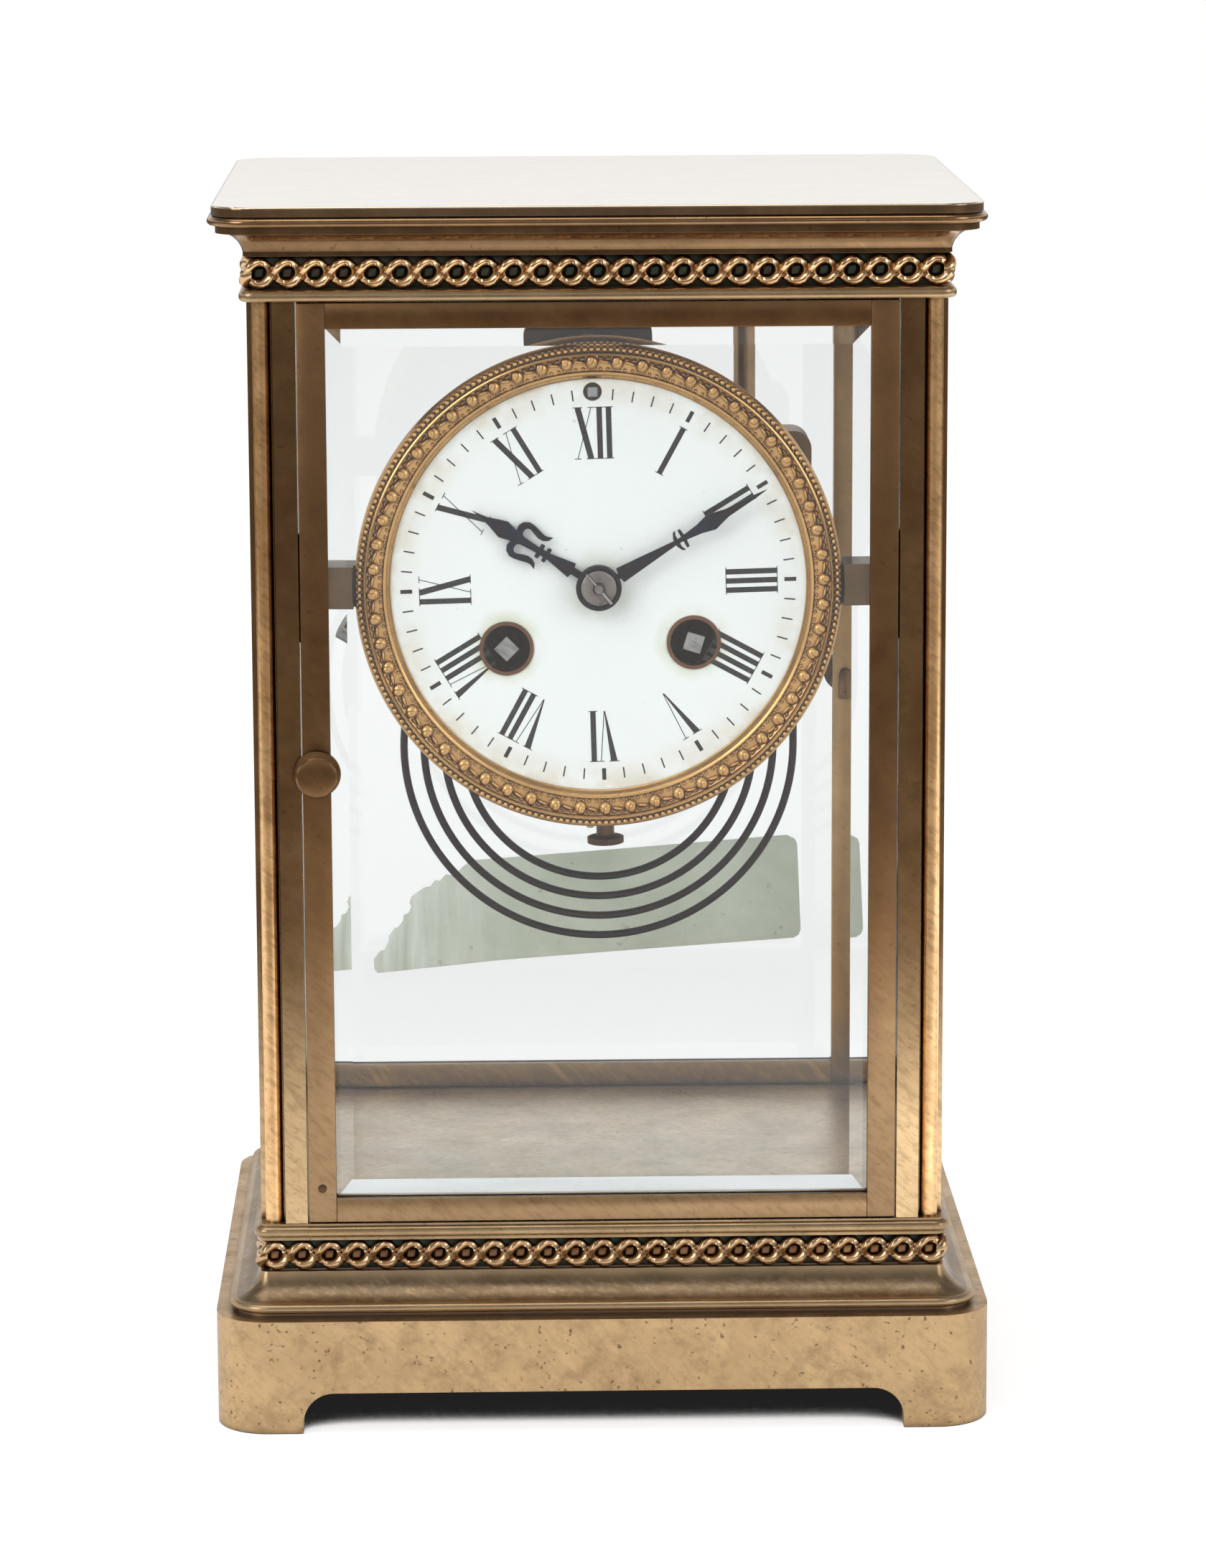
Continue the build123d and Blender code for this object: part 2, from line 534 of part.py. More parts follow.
def pillar_pair(row, name):
    """The left and right pillars of one row; row is -1 for the front and 1 for the rear."""
    latch_side = -1 if row < 0 else 1
    with BuildPart() as pair:
        for column in (-1, 1):
            outer_x = column * PILLAR_HALF_X
            outer_y = row * PILLAR_HALF_Y
            notch = PILLAR_SIZE - PILLAR_FLAT
            with BuildSketch(Plane.XY.offset(FLOOR_TOP)):
                with Locations((outer_x - column * PILLAR_SIZE / 2, outer_y - row * PILLAR_SIZE / 2)):
                    Rectangle(PILLAR_SIZE, PILLAR_SIZE)
                with Locations((outer_x - column * notch / 2, outer_y - row * notch / 2)):
                    Rectangle(notch, notch, mode=Mode.SUBTRACT)
                inner = notch - PILLAR_BEAD_INSET
                with Locations((outer_x - column * (notch - inner / 2), outer_y - row * (notch - inner / 2))):
                    Rectangle(inner, inner)
                with Locations((outer_x - column * PILLAR_BEAD_INSET, outer_y - row * PILLAR_BEAD_INSET)):
                    Circle(PILLAR_BEAD_RADIUS)
            extrude(amount=PILLAR_HEIGHT)
            # groove for the side glass
            groove = GLASS_THICKNESS + 2 * GLASS_PLAY
            groove_x = column * (PILLAR_HALF_X - SIDE_GLASS_INSET - GLASS_THICKNESS / 2)
            groove_y = row * (PILLAR_HALF_Y - PILLAR_SIZE)
            with BuildSketch(Plane.XY.offset(FLOOR_TOP)):
                with Locations((groove_x, groove_y)):
                    Rectangle(groove, 2 * (GLASS_SEAT + GLASS_PLAY))
            extrude(amount=PILLAR_HEIGHT, mode=Mode.SUBTRACT)
        # slot for the door's latch
        tongue_y = row * (PILLAR_HALF_Y - DOOR_THICKNESS - LATCH_GAP - LATCH_THICKNESS / 2)
        edge_x = latch_side * (PILLAR_HALF_X - PILLAR_SIZE)
        with BuildSketch(Plane.XY.offset(KNOB_HEIGHT - LATCH_SLOT_DROP)):
            with Locations((edge_x, tongue_y)):
                Rectangle(2 * (LATCH_LENGTH - KNOB_INSET + 0.6), LATCH_THICKNESS + 2 * LATCH_GAP)
        extrude(amount=LATCH_SLOT_DROP + LATCH_SLOT_RISE, mode=Mode.SUBTRACT)
        # screw holes in both ends
        for level, way in ((FLOOR_TOP, 1), (PILLAR_TOP, -1)):
            with BuildSketch(Plane.XY.offset(level)):
                with Locations((-SCREW_X, row * SCREW_Y), (SCREW_X, row * SCREW_Y)):
                    Circle(CASE_SCREW_RADIUS + RUNNING_FIT)
            extrude(amount=way * CASE_SCREW_DEPTH, mode=Mode.SUBTRACT)
        # holes for the strap's screws, in the front pillars' rear faces
        if row < 0:
            with BuildSketch(upright(row * (PILLAR_HALF_Y - PILLAR_SIZE), 0, DIAL_Z)):
                with GridLocations(2 * STRAP_SCREW_X, STRAP_SCREW_SPACING, 2, 2):
                    Circle(STRAP_SCREW_RADIUS + RUNNING_FIT)
            extrude(amount=6.0, mode=Mode.SUBTRACT)
    finish(pair, name)


pillar_pair(-1, "front_pillars")
pillar_pair(1, "rear_pillars")

# Upper ledge, a plate on the pillars with a rounded edge
with BuildPart() as upper_ledge:
    with BuildSketch(Plane.XY.offset(PILLAR_TOP)):
        case_shape(LEDGE_OVERHANG)
    extrude(amount=UPPER_LEDGE_THICKNESS)
    fillet(upper_ledge.faces().filter_by(Axis.Z).edges(), radius=UPPER_LEDGE_THICKNESS / 2 - 0.1)
    with BuildSketch(Plane.XY.offset(PILLAR_TOP)):
        with Locations(*HINGE_PLACES):
            Circle(HINGE_PIN_RADIUS + RUNNING_FIT)
    extrude(amount=HINGE_HOLE_DEPTH, mode=Mode.SUBTRACT)
    with BuildSketch(Plane.XY.offset(PILLAR_TOP)):
        with GridLocations(2 * SCREW_X, 2 * SCREW_Y, 2, 2):
            Circle(CASE_SCREW_RADIUS + RUNNING_FIT)
    extrude(amount=UPPER_LEDGE_THICKNESS, mode=Mode.SUBTRACT)
    with BuildSketch(Plane.XY.offset(CORNICE_BASE)):
        with GridLocations(2 * SCREW_X, 2 * SCREW_Y, 2, 2):
            Circle(CASE_SCREW_HEAD + RUNNING_FIT)
    extrude(amount=-CASE_SCREW_HEAD_HEIGHT, mode=Mode.SUBTRACT)
finish(upper_ledge, "upper_ledge")

# Cornice: the wall behind the upper chain, a hollow, a step, a bead and a thin groove
step_low = CAVETTO_BASE + CAVETTO_HEIGHT + 1.0
bead_low = step_low + CORNICE_STEP_HEIGHT
bead_high = bead_low + CORNICE_BEAD_HEIGHT
bead_middle = (bead_low + bead_high) / 2
with BuildPart() as cornice:
    with BuildSketch(Plane.XZ):
        with BuildLine():
            Polyline((over(CHAIN_BACK), CAVETTO_BASE), (over(0.4), CAVETTO_BASE), (over(0.4), CAVETTO_BASE + 1.0))
            ThreePointArc((over(0.4), CAVETTO_BASE + 1.0), (over(1.7), CAVETTO_BASE + 3.4),
                          (over(CORNICE_STEP_OVERHANG - 0.9), step_low))
            Polyline((over(CORNICE_STEP_OVERHANG - 0.9), step_low), (over(CORNICE_STEP_OVERHANG), step_low),
                     (over(CORNICE_STEP_OVERHANG), bead_low), (over(CORNICE_BEAD_OVERHANG) - 0.9, bead_low))
            ThreePointArc((over(CORNICE_BEAD_OVERHANG) - 0.9, bead_low), (over(CORNICE_BEAD_OVERHANG), bead_middle),
                          (over(CORNICE_BEAD_OVERHANG) - 0.9, bead_high))
            Polyline((over(CORNICE_BEAD_OVERHANG) - 0.9, bead_high), (over(TOP_GROOVE_OVERHANG), bead_high),
                     (over(TOP_GROOVE_OVERHANG), CORNICE_TOP), (over(CHAIN_BACK), CORNICE_TOP),
                     (over(CHAIN_BACK), CAVETTO_BASE))
        make_face()
    sweep(path=case_path(CORNICE_BEAD_OVERHANG, CAVETTO_BASE))
    case_frame(CHAIN_BACK, CASE_WALL_INNER, CORNICE_BASE, CORNICE_TOP)
finish(cornice, "cornice")

# Top plate
with BuildPart() as top_plate:
    with BuildSketch(Plane.XY.offset(CORNICE_TOP)):
        case_shape(TOP_PLATE_OVERHANG)
    extrude(amount=TOP_PLATE_THICKNESS)
    fillet(top_plate.faces().sort_by(Axis.Z)[-1].edges(), radius=TOP_PLATE_EDGE)
finish(top_plate, "top_plate")

# Side rails: one above and one below each side glass
rail_span = 2 * (PILLAR_HALF_Y - PILLAR_SIZE)
glass_middle = PILLAR_HALF_X - SIDE_GLASS_INSET - GLASS_THICKNESS / 2
with BuildPart() as side_rails:
    for side in (-1, 1):
        for low, way in ((FLOOR_TOP, 1), (PILLAR_TOP, -1)):
            with BuildSketch(Plane.XY.offset(low)):
                with Locations((side * (PILLAR_HALF_X - SIDE_RAIL_THICKNESS / 2), 0)):
                    Rectangle(SIDE_RAIL_THICKNESS, rail_span)
            extrude(amount=way * SIDE_RAIL_HEIGHT)
            with BuildSketch(Plane.XY.offset(low + way * SIDE_RAIL_HEIGHT)):
                with Locations((side * glass_middle, 0)):
                    Rectangle(GLASS_THICKNESS + 2 * GLASS_PLAY, rail_span)
            extrude(amount=-way * (GLASS_SEAT + GLASS_PLAY), mode=Mode.SUBTRACT)
finish(side_rails, "side_rails")

# Side glasses, bevelled on their outer faces
with BuildPart() as side_glasses:
    for side in (-1, 1):
        low = FLOOR_TOP + SIDE_RAIL_HEIGHT - GLASS_SEAT
        high = PILLAR_TOP - SIDE_RAIL_HEIGHT + GLASS_SEAT
        pane = Plane(origin=(side * (glass_middle - GLASS_THICKNESS / 2), 0, (low + high) / 2),
                     x_dir=(0, side, 0), z_dir=(side, 0, 0))
        with BuildSketch(pane):
            Rectangle(rail_span + 2 * GLASS_SEAT, high - low)
        extrude(amount=GLASS_THICKNESS - GLASS_BEVEL_DEPTH)
        with BuildSketch(pane.offset(GLASS_THICKNESS - GLASS_BEVEL_DEPTH)):
            Rectangle(rail_span, high - low - 2 * GLASS_SEAT)
        with BuildSketch(pane.offset(GLASS_THICKNESS)):
            Rectangle(rail_span - 2 * GLASS_BEVEL, high - low - 2 * GLASS_SEAT - 2 * GLASS_BEVEL)
        loft()
finish(side_glasses, "side_glasses")


# Doors: each is built facing its own viewer; out is towards that viewer

def door_plane(out, right, up, front):
    """Plane on one door: right and up are as its viewer sees them."""
    facing = -1 if front else 1
    return Plane(origin=(-facing * right, facing * out, up), x_dir=(-facing, 0, 0), z_dir=(0, facing, 0))


def door(front, side_name):
    """Frame, glass, hinge pins and knob of one door, hinged at its viewer's right."""
    face = PILLAR_HALF_Y
    width = 2 * DOOR_HALF
    height = DOOR_HIGH - DOOR_LOW
    middle = (DOOR_LOW + DOOR_HIGH) / 2
    opening_width = width - 2 * STILE_WIDTH
    opening_height = height - TOP_RAIL_WIDTH - BOTTOM_RAIL_WIDTH
    opening_middle = (DOOR_LOW + BOTTOM_RAIL_WIDTH + DOOR_HIGH - TOP_RAIL_WIDTH) / 2
    glass_face = face - DOOR_GLASS_INSET
    knob_right = KNOB_INSET - DOOR_HALF

    with BuildPart() as frame:
        with BuildSketch(door_plane(face - DOOR_THICKNESS, 0, middle, front)):
            Rectangle(width, height)
        extrude(amount=DOOR_THICKNESS)
        hinge_edges = [edge for edge in frame.edges().filter_by(Axis.Z)
                       if (edge.center().X > 0) == front]
        fillet(hinge_edges, radius=HINGE_INSET)
        with BuildSketch(door_plane(face - DOOR_THICKNESS, 0, opening_middle, front)):
            Rectangle(opening_width, opening_height)
        extrude(amount=DOOR_THICKNESS, mode=Mode.SUBTRACT)
        groove = DOOR_GLASS_SEAT + GLASS_PLAY
        with BuildSketch(door_plane(glass_face - GLASS_THICKNESS - GLASS_PLAY, 0, opening_middle, front)):
            Rectangle(opening_width + 2 * groove, opening_height + 2 * groove)
        extrude(amount=GLASS_THICKNESS + GLASS_PLAY, mode=Mode.SUBTRACT)
        for level, way in ((DOOR_LOW, 1), (DOOR_HIGH, -1)):
            with BuildSketch(Plane.XY.offset(level)):
                with Locations(HINGE_PLACES[0] if front else HINGE_PLACES[1]):
                    Circle(HINGE_PIN_RADIUS)
            extrude(amount=way * HINGE_PIN_REACH, mode=Mode.SUBTRACT)
        with BuildSketch(door_plane(face, knob_right, KNOB_HEIGHT, front)):
            Circle(KNOB_SHAFT_RADIUS + RUNNING_FIT)
        extrude(amount=-DOOR_THICKNESS, mode=Mode.SUBTRACT)
    finish(frame, side_name + "_door_frame")

    with BuildPart() as glass:
        with BuildSketch(door_plane(glass_face - GLASS_THICKNESS, 0, opening_middle, front)):
            Rectangle(opening_width + 2 * DOOR_GLASS_SEAT, opening_height + 2 * DOOR_GLASS_SEAT)
        extrude(amount=GLASS_THICKNESS - GLASS_BEVEL_DEPTH)
        with BuildSketch(door_plane(glass_face - GLASS_BEVEL_DEPTH, 0, opening_middle, front)):
            Rectangle(opening_width, opening_height)
        with BuildSketch(door_plane(glass_face, 0, opening_middle, front)):
            Rectangle(opening_width - 2 * GLASS_BEVEL, opening_height - 2 * GLASS_BEVEL)
        loft()
        # lip that lies against the front of the frame's groove
        with BuildSketch(door_plane(glass_face - GLASS_BEVEL_DEPTH, 0, opening_middle, front)):
            Rectangle(opening_width + 2 * DOOR_GLASS_SEAT, opening_height + 2 * DOOR_GLASS_SEAT)
            Rectangle(opening_width + 0.4, opening_height + 0.4, mode=Mode.SUBTRACT)
        extrude(amount=GLASS_BEVEL_DEPTH)
    finish(glass, side_name + "_door_glass")

    with BuildPart() as pins:
        for level, way in ((FLOOR_TOP, 1), (PILLAR_TOP, -1)):
            with BuildSketch(Plane.XY.offset(level - way * (HINGE_HOLE_DEPTH - 0.2))):
                with Locations(HINGE_PLACES[0] if front else HINGE_PLACES[1]):
                    Circle(HINGE_PIN_RADIUS)
            extrude(amount=way * (HINGE_HOLE_DEPTH - 0.2 + DOOR_GAP + HINGE_PIN_REACH))
    finish(pins, side_name + "_hinge_pins")

    with BuildPart() as knob:
        with BuildSketch(door_plane(face + RUNNING_FIT, knob_right, KNOB_HEIGHT, front)):
            Circle(KNOB_COLLAR_RADIUS)
        extrude(amount=KNOB_COLLAR_LENGTH - RUNNING_FIT)
        with BuildSketch(door_plane(face + KNOB_COLLAR_LENGTH, knob_right, KNOB_HEIGHT, front)):
            Circle(KNOB_NECK_RADIUS)
        with BuildSketch(door_plane(face + KNOB_LENGTH - 1.6, knob_right, KNOB_HEIGHT, front)):
            Circle(KNOB_RADIUS)
        loft()
        with BuildSketch(door_plane(face + KNOB_LENGTH - 1.6, knob_right, KNOB_HEIGHT, front)):
            Circle(KNOB_RADIUS)
        extrude(amount=1.6)
        shaft_length = DOOR_THICKNESS + LATCH_GAP + LATCH_THICKNESS
        with BuildSketch(door_plane(face + KNOB_COLLAR_LENGTH, knob_right, KNOB_HEIGHT, front)):
            Circle(KNOB_SHAFT_RADIUS)
        extrude(amount=-shaft_length - KNOB_COLLAR_LENGTH)
        # tongue, hanging down while the latch is open
        with BuildSketch(door_plane(face - shaft_length, knob_right, KNOB_HEIGHT, front)):
            Circle(LATCH_WIDTH / 2)
            with Locations((0, -LATCH_LENGTH / 2)):
                Rectangle(LATCH_WIDTH, LATCH_LENGTH)
        extrude(amount=LATCH_THICKNESS)
    finish(knob, side_name + "_knob")


door(True, "front")
door(False, "rear")

# Torn paper label on the inner face of the rear door's glass
label_y = PILLAR_HALF_Y - DOOR_GLASS_INSET - GLASS_THICKNESS - LABEL_THICKNESS
label_left = LABEL_MARGINS[0] + STILE_WIDTH - DOOR_HALF
label_right = DOOR_HALF - STILE_WIDTH - LABEL_MARGINS[1]
label_low = DOOR_LOW + BOTTOM_RAIL_WIDTH + LABEL_RISE
with BuildPart() as rear_label:
    with BuildSketch(upright(label_y)):
        with BuildLine():
            Polyline((label_left, label_low), (label_right, label_low + 8.2), (label_right - 0.4, label_low + 29.8),
                     (label_right - 4.2, label_low + 32.4), (label_left + 23.8, label_low + 28.2), close=True)
        make_face()
    extrude(amount=-LABEL_THICKNESS)
finish(rear_label, "rear_label")

# Movement ring: the drum behind the dial
with BuildPart() as movement_ring:
    rod(DIAL_FRONT, RING_BACK, RING_RADIUS, 0, 0)
    bore(DIAL_FRONT, DIAL_PLATE_BACK, DIAL_PLATE_RADIUS + 0.1, 0, 0)
    bore(DIAL_PLATE_BACK, RING_BACK, RING_RADIUS - RING_WALL, 0, 0)
    with BuildSketch(movement(FRONT_PLATE_BACK + RING_FLANGE_THICKNESS)):
        Circle(RING_RADIUS - RING_WALL)
        Circle(RING_RADIUS - RING_WALL - RING_FLANGE, mode=Mode.SUBTRACT)
    extrude(amount=RING_FLANGE_THICKNESS)
    bore(FRONT_PLATE_BACK, RING_BACK, REGULATOR_RADIUS + 0.4, 0, REGULATOR_V)
    tilt_down = Plane(origin=movement(THUMB_SCREW_Y, 0, 0).origin, x_dir=(0, 1, 0),
                      z_dir=(sin(radians(MOVEMENT_TILT)), 0, -cos(radians(MOVEMENT_TILT))))
    with BuildSketch(tilt_down.offset(RING_RADIUS - RING_WALL - 1)):
        Circle(THUMB_SHAFT_RADIUS + RUNNING_FIT)
    extrude(amount=RING_WALL + 2, mode=Mode.SUBTRACT)
finish(movement_ring, "movement_ring")

# Thumb screw under the bezel
with BuildPart() as thumb_screw:
    for start, end, radius in ((RING_RADIUS - RING_WALL + 0.4, RING_RADIUS + 0.1, THUMB_SHAFT_RADIUS),
                               (RING_RADIUS + 0.1, RING_RADIUS + 2.5, 2.85),
                               (RING_RADIUS + 2.5, RING_RADIUS + 7.4, 1.95),
                               (RING_RADIUS + 7.4, RING_RADIUS + 9.0, THUMB_RADIUS)):
        with BuildSketch(tilt_down.offset(start)):
            Circle(radius)
        extrude(amount=end - start)
finish(thumb_screw, "thumb_screw")

# Bezel, turned: skirt, bead, groove, rounded band and sloping lip
band_crest = DIAL_FRONT - 4.0
with BuildPart() as bezel:
    with BuildSketch(Plane(origin=(0, 0, DIAL_Z), x_dir=(1, 0, 0), z_dir=(0, 0, 1))):
        with BuildLine():
            Polyline((BEZEL_SIGHT_RADIUS, DIAL_FRONT), (BEZEL_SIGHT_RADIUS, DIAL_FRONT - 0.4),
                     (BEZEL_SIGHT_RADIUS + 1.3, DIAL_FRONT - 1.9))
            ThreePointArc((BEZEL_SIGHT_RADIUS + 1.3, DIAL_FRONT - 1.9), (BEZEL_RADIUS - 4.4, band_crest + 0.3),
                          (BEZEL_RADIUS - 2.2, band_crest))
            Polyline((BEZEL_RADIUS - 2.2, band_crest), (BEZEL_RADIUS - 1.9, band_crest + 0.7),
                     (BEZEL_RADIUS - 2 * BEZEL_BEAD_RADIUS, band_crest + 0.7))
            ThreePointArc((BEZEL_RADIUS - 2 * BEZEL_BEAD_RADIUS, band_crest + 0.7),
                          (BEZEL_RADIUS - BEZEL_BEAD_RADIUS, band_crest + 0.7 - BEZEL_BEAD_RADIUS),
                          (BEZEL_RADIUS, band_crest + 0.7))
            Polyline((BEZEL_RADIUS, band_crest + 0.7), (BEZEL_RADIUS, DIAL_FRONT + BEZEL_SKIRT),
                     (RING_RADIUS + 0.1, DIAL_FRONT + BEZEL_SKIRT), (RING_RADIUS + 0.1, DIAL_FRONT),
                     (BEZEL_SIGHT_RADIUS, DIAL_FRONT))
        make_face()
    revolve(axis=Axis((0, 0, DIAL_Z), (0, 1, 0)))
finish(bezel, "bezel")

# Enamel dial and the brass plate behind it
WINDING_PLACES = (STRIKE_AT, GOING_AT)
with BuildPart() as dial:
    rod(DIAL_FRONT, DIAL_BACK, ENAMEL_RADIUS, 0, 0)
    bore(DIAL_FRONT, DIAL_BACK, DIAL_HOLE_RADIUS, 0, 0)
    bore(DIAL_FRONT, DIAL_BACK, REGULATOR_HOLE_RADIUS, 0, REGULATOR_V)
    for place in WINDING_PLACES:
        bore(DIAL_FRONT, DIAL_BACK, EYELET_RADIUS - 0.4, *place)
finish(dial, "dial")

with BuildPart() as dial_plate:
    rod(DIAL_BACK, DIAL_PLATE_BACK, DIAL_PLATE_RADIUS, 0, 0)
    bore(DIAL_BACK, DIAL_PLATE_BACK, DIAL_HOLE_RADIUS, 0, 0)
    bore(DIAL_BACK, DIAL_PLATE_BACK, REGULATOR_RADIUS + RUNNING_FIT, 0, REGULATOR_V)
    for place in WINDING_PLACES:
        bore(DIAL_BACK, DIAL_PLATE_BACK, EYELET_HOLE, *place)
finish(dial_plate, "dial_plate")

# Copper eyelets round the winding holes
with BuildPart() as dial_eyelets:
    for place in WINDING_PLACES:
        with BuildSketch(movement(DIAL_FRONT, *place)):
            Circle(EYELET_RADIUS)
            Circle(EYELET_HOLE, mode=Mode.SUBTRACT)
        extrude(amount=EYELET_PROUD)
        with BuildSketch(movement(DIAL_BACK, *place)):
            Circle(EYELET_RADIUS - 0.4)
            Circle(EYELET_HOLE, mode=Mode.SUBTRACT)
        extrude(amount=ENAMEL_THICKNESS)
finish(dial_eyelets, "dial_eyelets")


def strap(side, name):
    """The arm and its plate that hold the ring to one front pillar; side is -1 for the left."""
    back = -(PILLAR_HALF_Y - PILLAR_SIZE) + STRAP_DEPTH
    plate_width = STRAP_PLATE_OUTER - STRAP_PLATE_INNER
    with BuildPart() as piece:
        with BuildSketch(upright(back, 0, DIAL_Z)):
            with Locations((side * (STRAP_PLATE_INNER + STRAP_PLATE_THICKNESS + RING_RADIUS - 4) / 2, 0)):
                Rectangle(STRAP_PLATE_INNER + STRAP_PLATE_THICKNESS - RING_RADIUS + 4, STRAP_HEIGHT)
        extrude(amount=STRAP_DEPTH)
        bore(-PILLAR_HALF_Y, DIAL_FRONT + BEZEL_SKIRT + 0.3, BEZEL_RADIUS + 0.4, 0, 0)
        bore(-PILLAR_HALF_Y, back, RING_RADIUS, 0, 0)
        plate_back = -(PILLAR_HALF_Y - PILLAR_SIZE) + STRAP_PLATE_THICKNESS
        with BuildSketch(upright(plate_back, side * (STRAP_PLATE_INNER + STRAP_PLATE_OUTER) / 2, DIAL_Z)):
            RectangleRounded(plate_width, STRAP_PLATE_HEIGHT, 1.5)
            offset_x = side * (STRAP_SCREW_X - (STRAP_PLATE_INNER + STRAP_PLATE_OUTER) / 2)
            with Locations((offset_x, STRAP_SCREW_SPACING / 2), (offset_x, -STRAP_SCREW_SPACING / 2)):
                Circle(STRAP_SCREW_RADIUS + RUNNING_FIT, mode=Mode.SUBTRACT)
        extrude(amount=STRAP_PLATE_THICKNESS)
    finish(piece, name)


strap(-1, "strap_left")
strap(1, "strap_right")

# Screws of the case and of the straps
with BuildPart() as fasteners:
    for level, way in ((FLOOR_UNDERSIDE, 1), (CORNICE_BASE, -1)):
        plate = FLOOR_THICKNESS if way > 0 else UPPER_LEDGE_THICKNESS
        for radius, length in ((CASE_SCREW_RADIUS, plate + CASE_SCREW_DEPTH - 0.5),
                               (CASE_SCREW_HEAD, CASE_SCREW_HEAD_HEIGHT)):
            with BuildSketch(Plane.XY.offset(level)):
                with GridLocations(2 * SCREW_X, 2 * SCREW_Y, 2, 2):
                    Circle(radius)
            extrude(amount=way * length)
    seat_y = -(PILLAR_HALF_Y - PILLAR_SIZE) + STRAP_PLATE_THICKNESS
    with BuildSketch(upright(seat_y, 0, DIAL_Z)):
        with GridLocations(2 * STRAP_SCREW_X, STRAP_SCREW_SPACING, 2, 2):
            Circle(STRAP_SCREW_RADIUS)
    extrude(amount=STRAP_PLATE_THICKNESS + 5.5)
    with BuildSketch(upright(seat_y, 0, DIAL_Z)):
        with GridLocations(2 * STRAP_SCREW_X, STRAP_SCREW_SPACING, 2, 2):
            Circle(STRAP_SCREW_HEAD)
    extrude(amount=-STRAP_SCREW_HEAD_HEIGHT)
finish(fasteners, "fasteners")

# Movement plates, with a hole for each arbor
PIVOT_PLACES = (SECOND_AT, STRIKE_SECOND_AT, THIRD_AT, ESCAPE_AT, PIN_AT, FLY_AT)
with BuildPart() as front_plate:
    rod(FRONT_PLATE_FRONT, FRONT_PLATE_BACK, RING_RADIUS - RING_WALL - GLASS_PLAY, 0, 0)
    for place in PIVOT_PLACES + (PALLET_AT, HAMMER_AT):
        bore(FRONT_PLATE_FRONT, FRONT_PLATE_BACK, PIVOT_RADIUS + RUNNING_FIT, *place)
    for place in PLATE_PILLARS:
        bore(FRONT_PLATE_FRONT, FRONT_PLATE_BACK, PLATE_PILLAR_PIN, *place)
    for place in WINDING_PLACES:
        bore(FRONT_PLATE_FRONT, FRONT_PLATE_BACK, WINDING_ARBOR_RADIUS + RUNNING_FIT, *place)
    bore(FRONT_PLATE_FRONT, FRONT_PLATE_BACK, 1.2 + RUNNING_FIT, 0, 0)
    bore(FRONT_PLATE_FRONT, FRONT_PLATE_BACK, REGULATOR_RADIUS + RUNNING_FIT, 0, REGULATOR_V)
    # stud that carries the minute wheel
    rod(FRONT_PLATE_FRONT - 5.2, FRONT_PLATE_FRONT, ARBOR_RADIUS, *MINUTE_WHEEL_AT)
finish(front_plate, "front_plate")

with BuildPart() as back_plate:
    rod(BACK_PLATE_FRONT, BACK_PLATE_BACK, BACK_PLATE_RADIUS, 0, 0)
    for place in PIVOT_PLACES:
        bore(BACK_PLATE_FRONT, BACK_PLATE_BACK, PIVOT_RADIUS + RUNNING_FIT, *place)
    bore(BACK_PLATE_FRONT, BACK_PLATE_BACK, ARBOR_RADIUS + RUNNING_FIT, *HAMMER_AT)
    bore(BACK_PLATE_FRONT, BACK_PLATE_BACK, ARBOR_RADIUS + 0.5, *PALLET_AT)
    for place in PLATE_PILLARS:
        bore(BACK_PLATE_FRONT, BACK_PLATE_BACK, PLATE_PILLAR_PIN, *place)
    for place in WINDING_PLACES:
        bore(BACK_PLATE_FRONT, BACK_PLATE_BACK, WINDING_PIVOT_RADIUS + RUNNING_FIT, *place)
    bore(BACK_PLATE_FRONT, BACK_PLATE_BACK, ARBOR_RADIUS + RUNNING_FIT, 0, 0)
    with BuildSketch(movement(BACK_PLATE_BACK, 0, REGULATOR_V + 2)):
        Rectangle(2 * REGULATOR_RADIUS + 0.8, 2 * REGULATOR_RADIUS + 4.6)
    extrude(amount=PLATE_THICKNESS, mode=Mode.SUBTRACT)
finish(back_plate, "back_plate")

# Pillars between the plates, with a nut behind each
with BuildPart() as plate_pillars:
    for place in PLATE_PILLARS:
        rod(FRONT_PLATE_BACK, BACK_PLATE_FRONT, PLATE_PILLAR_RADIUS, *place)
        rod(FRONT_PLATE_FRONT, BACK_PLATE_BACK, PLATE_PILLAR_PIN, *place)
        rod(BACK_PLATE_BACK, BACK_PLATE_BACK + PLATE_NUT_LENGTH, PLATE_PILLAR_RADIUS, *place)
finish(plate_pillars, "plate_pillars")

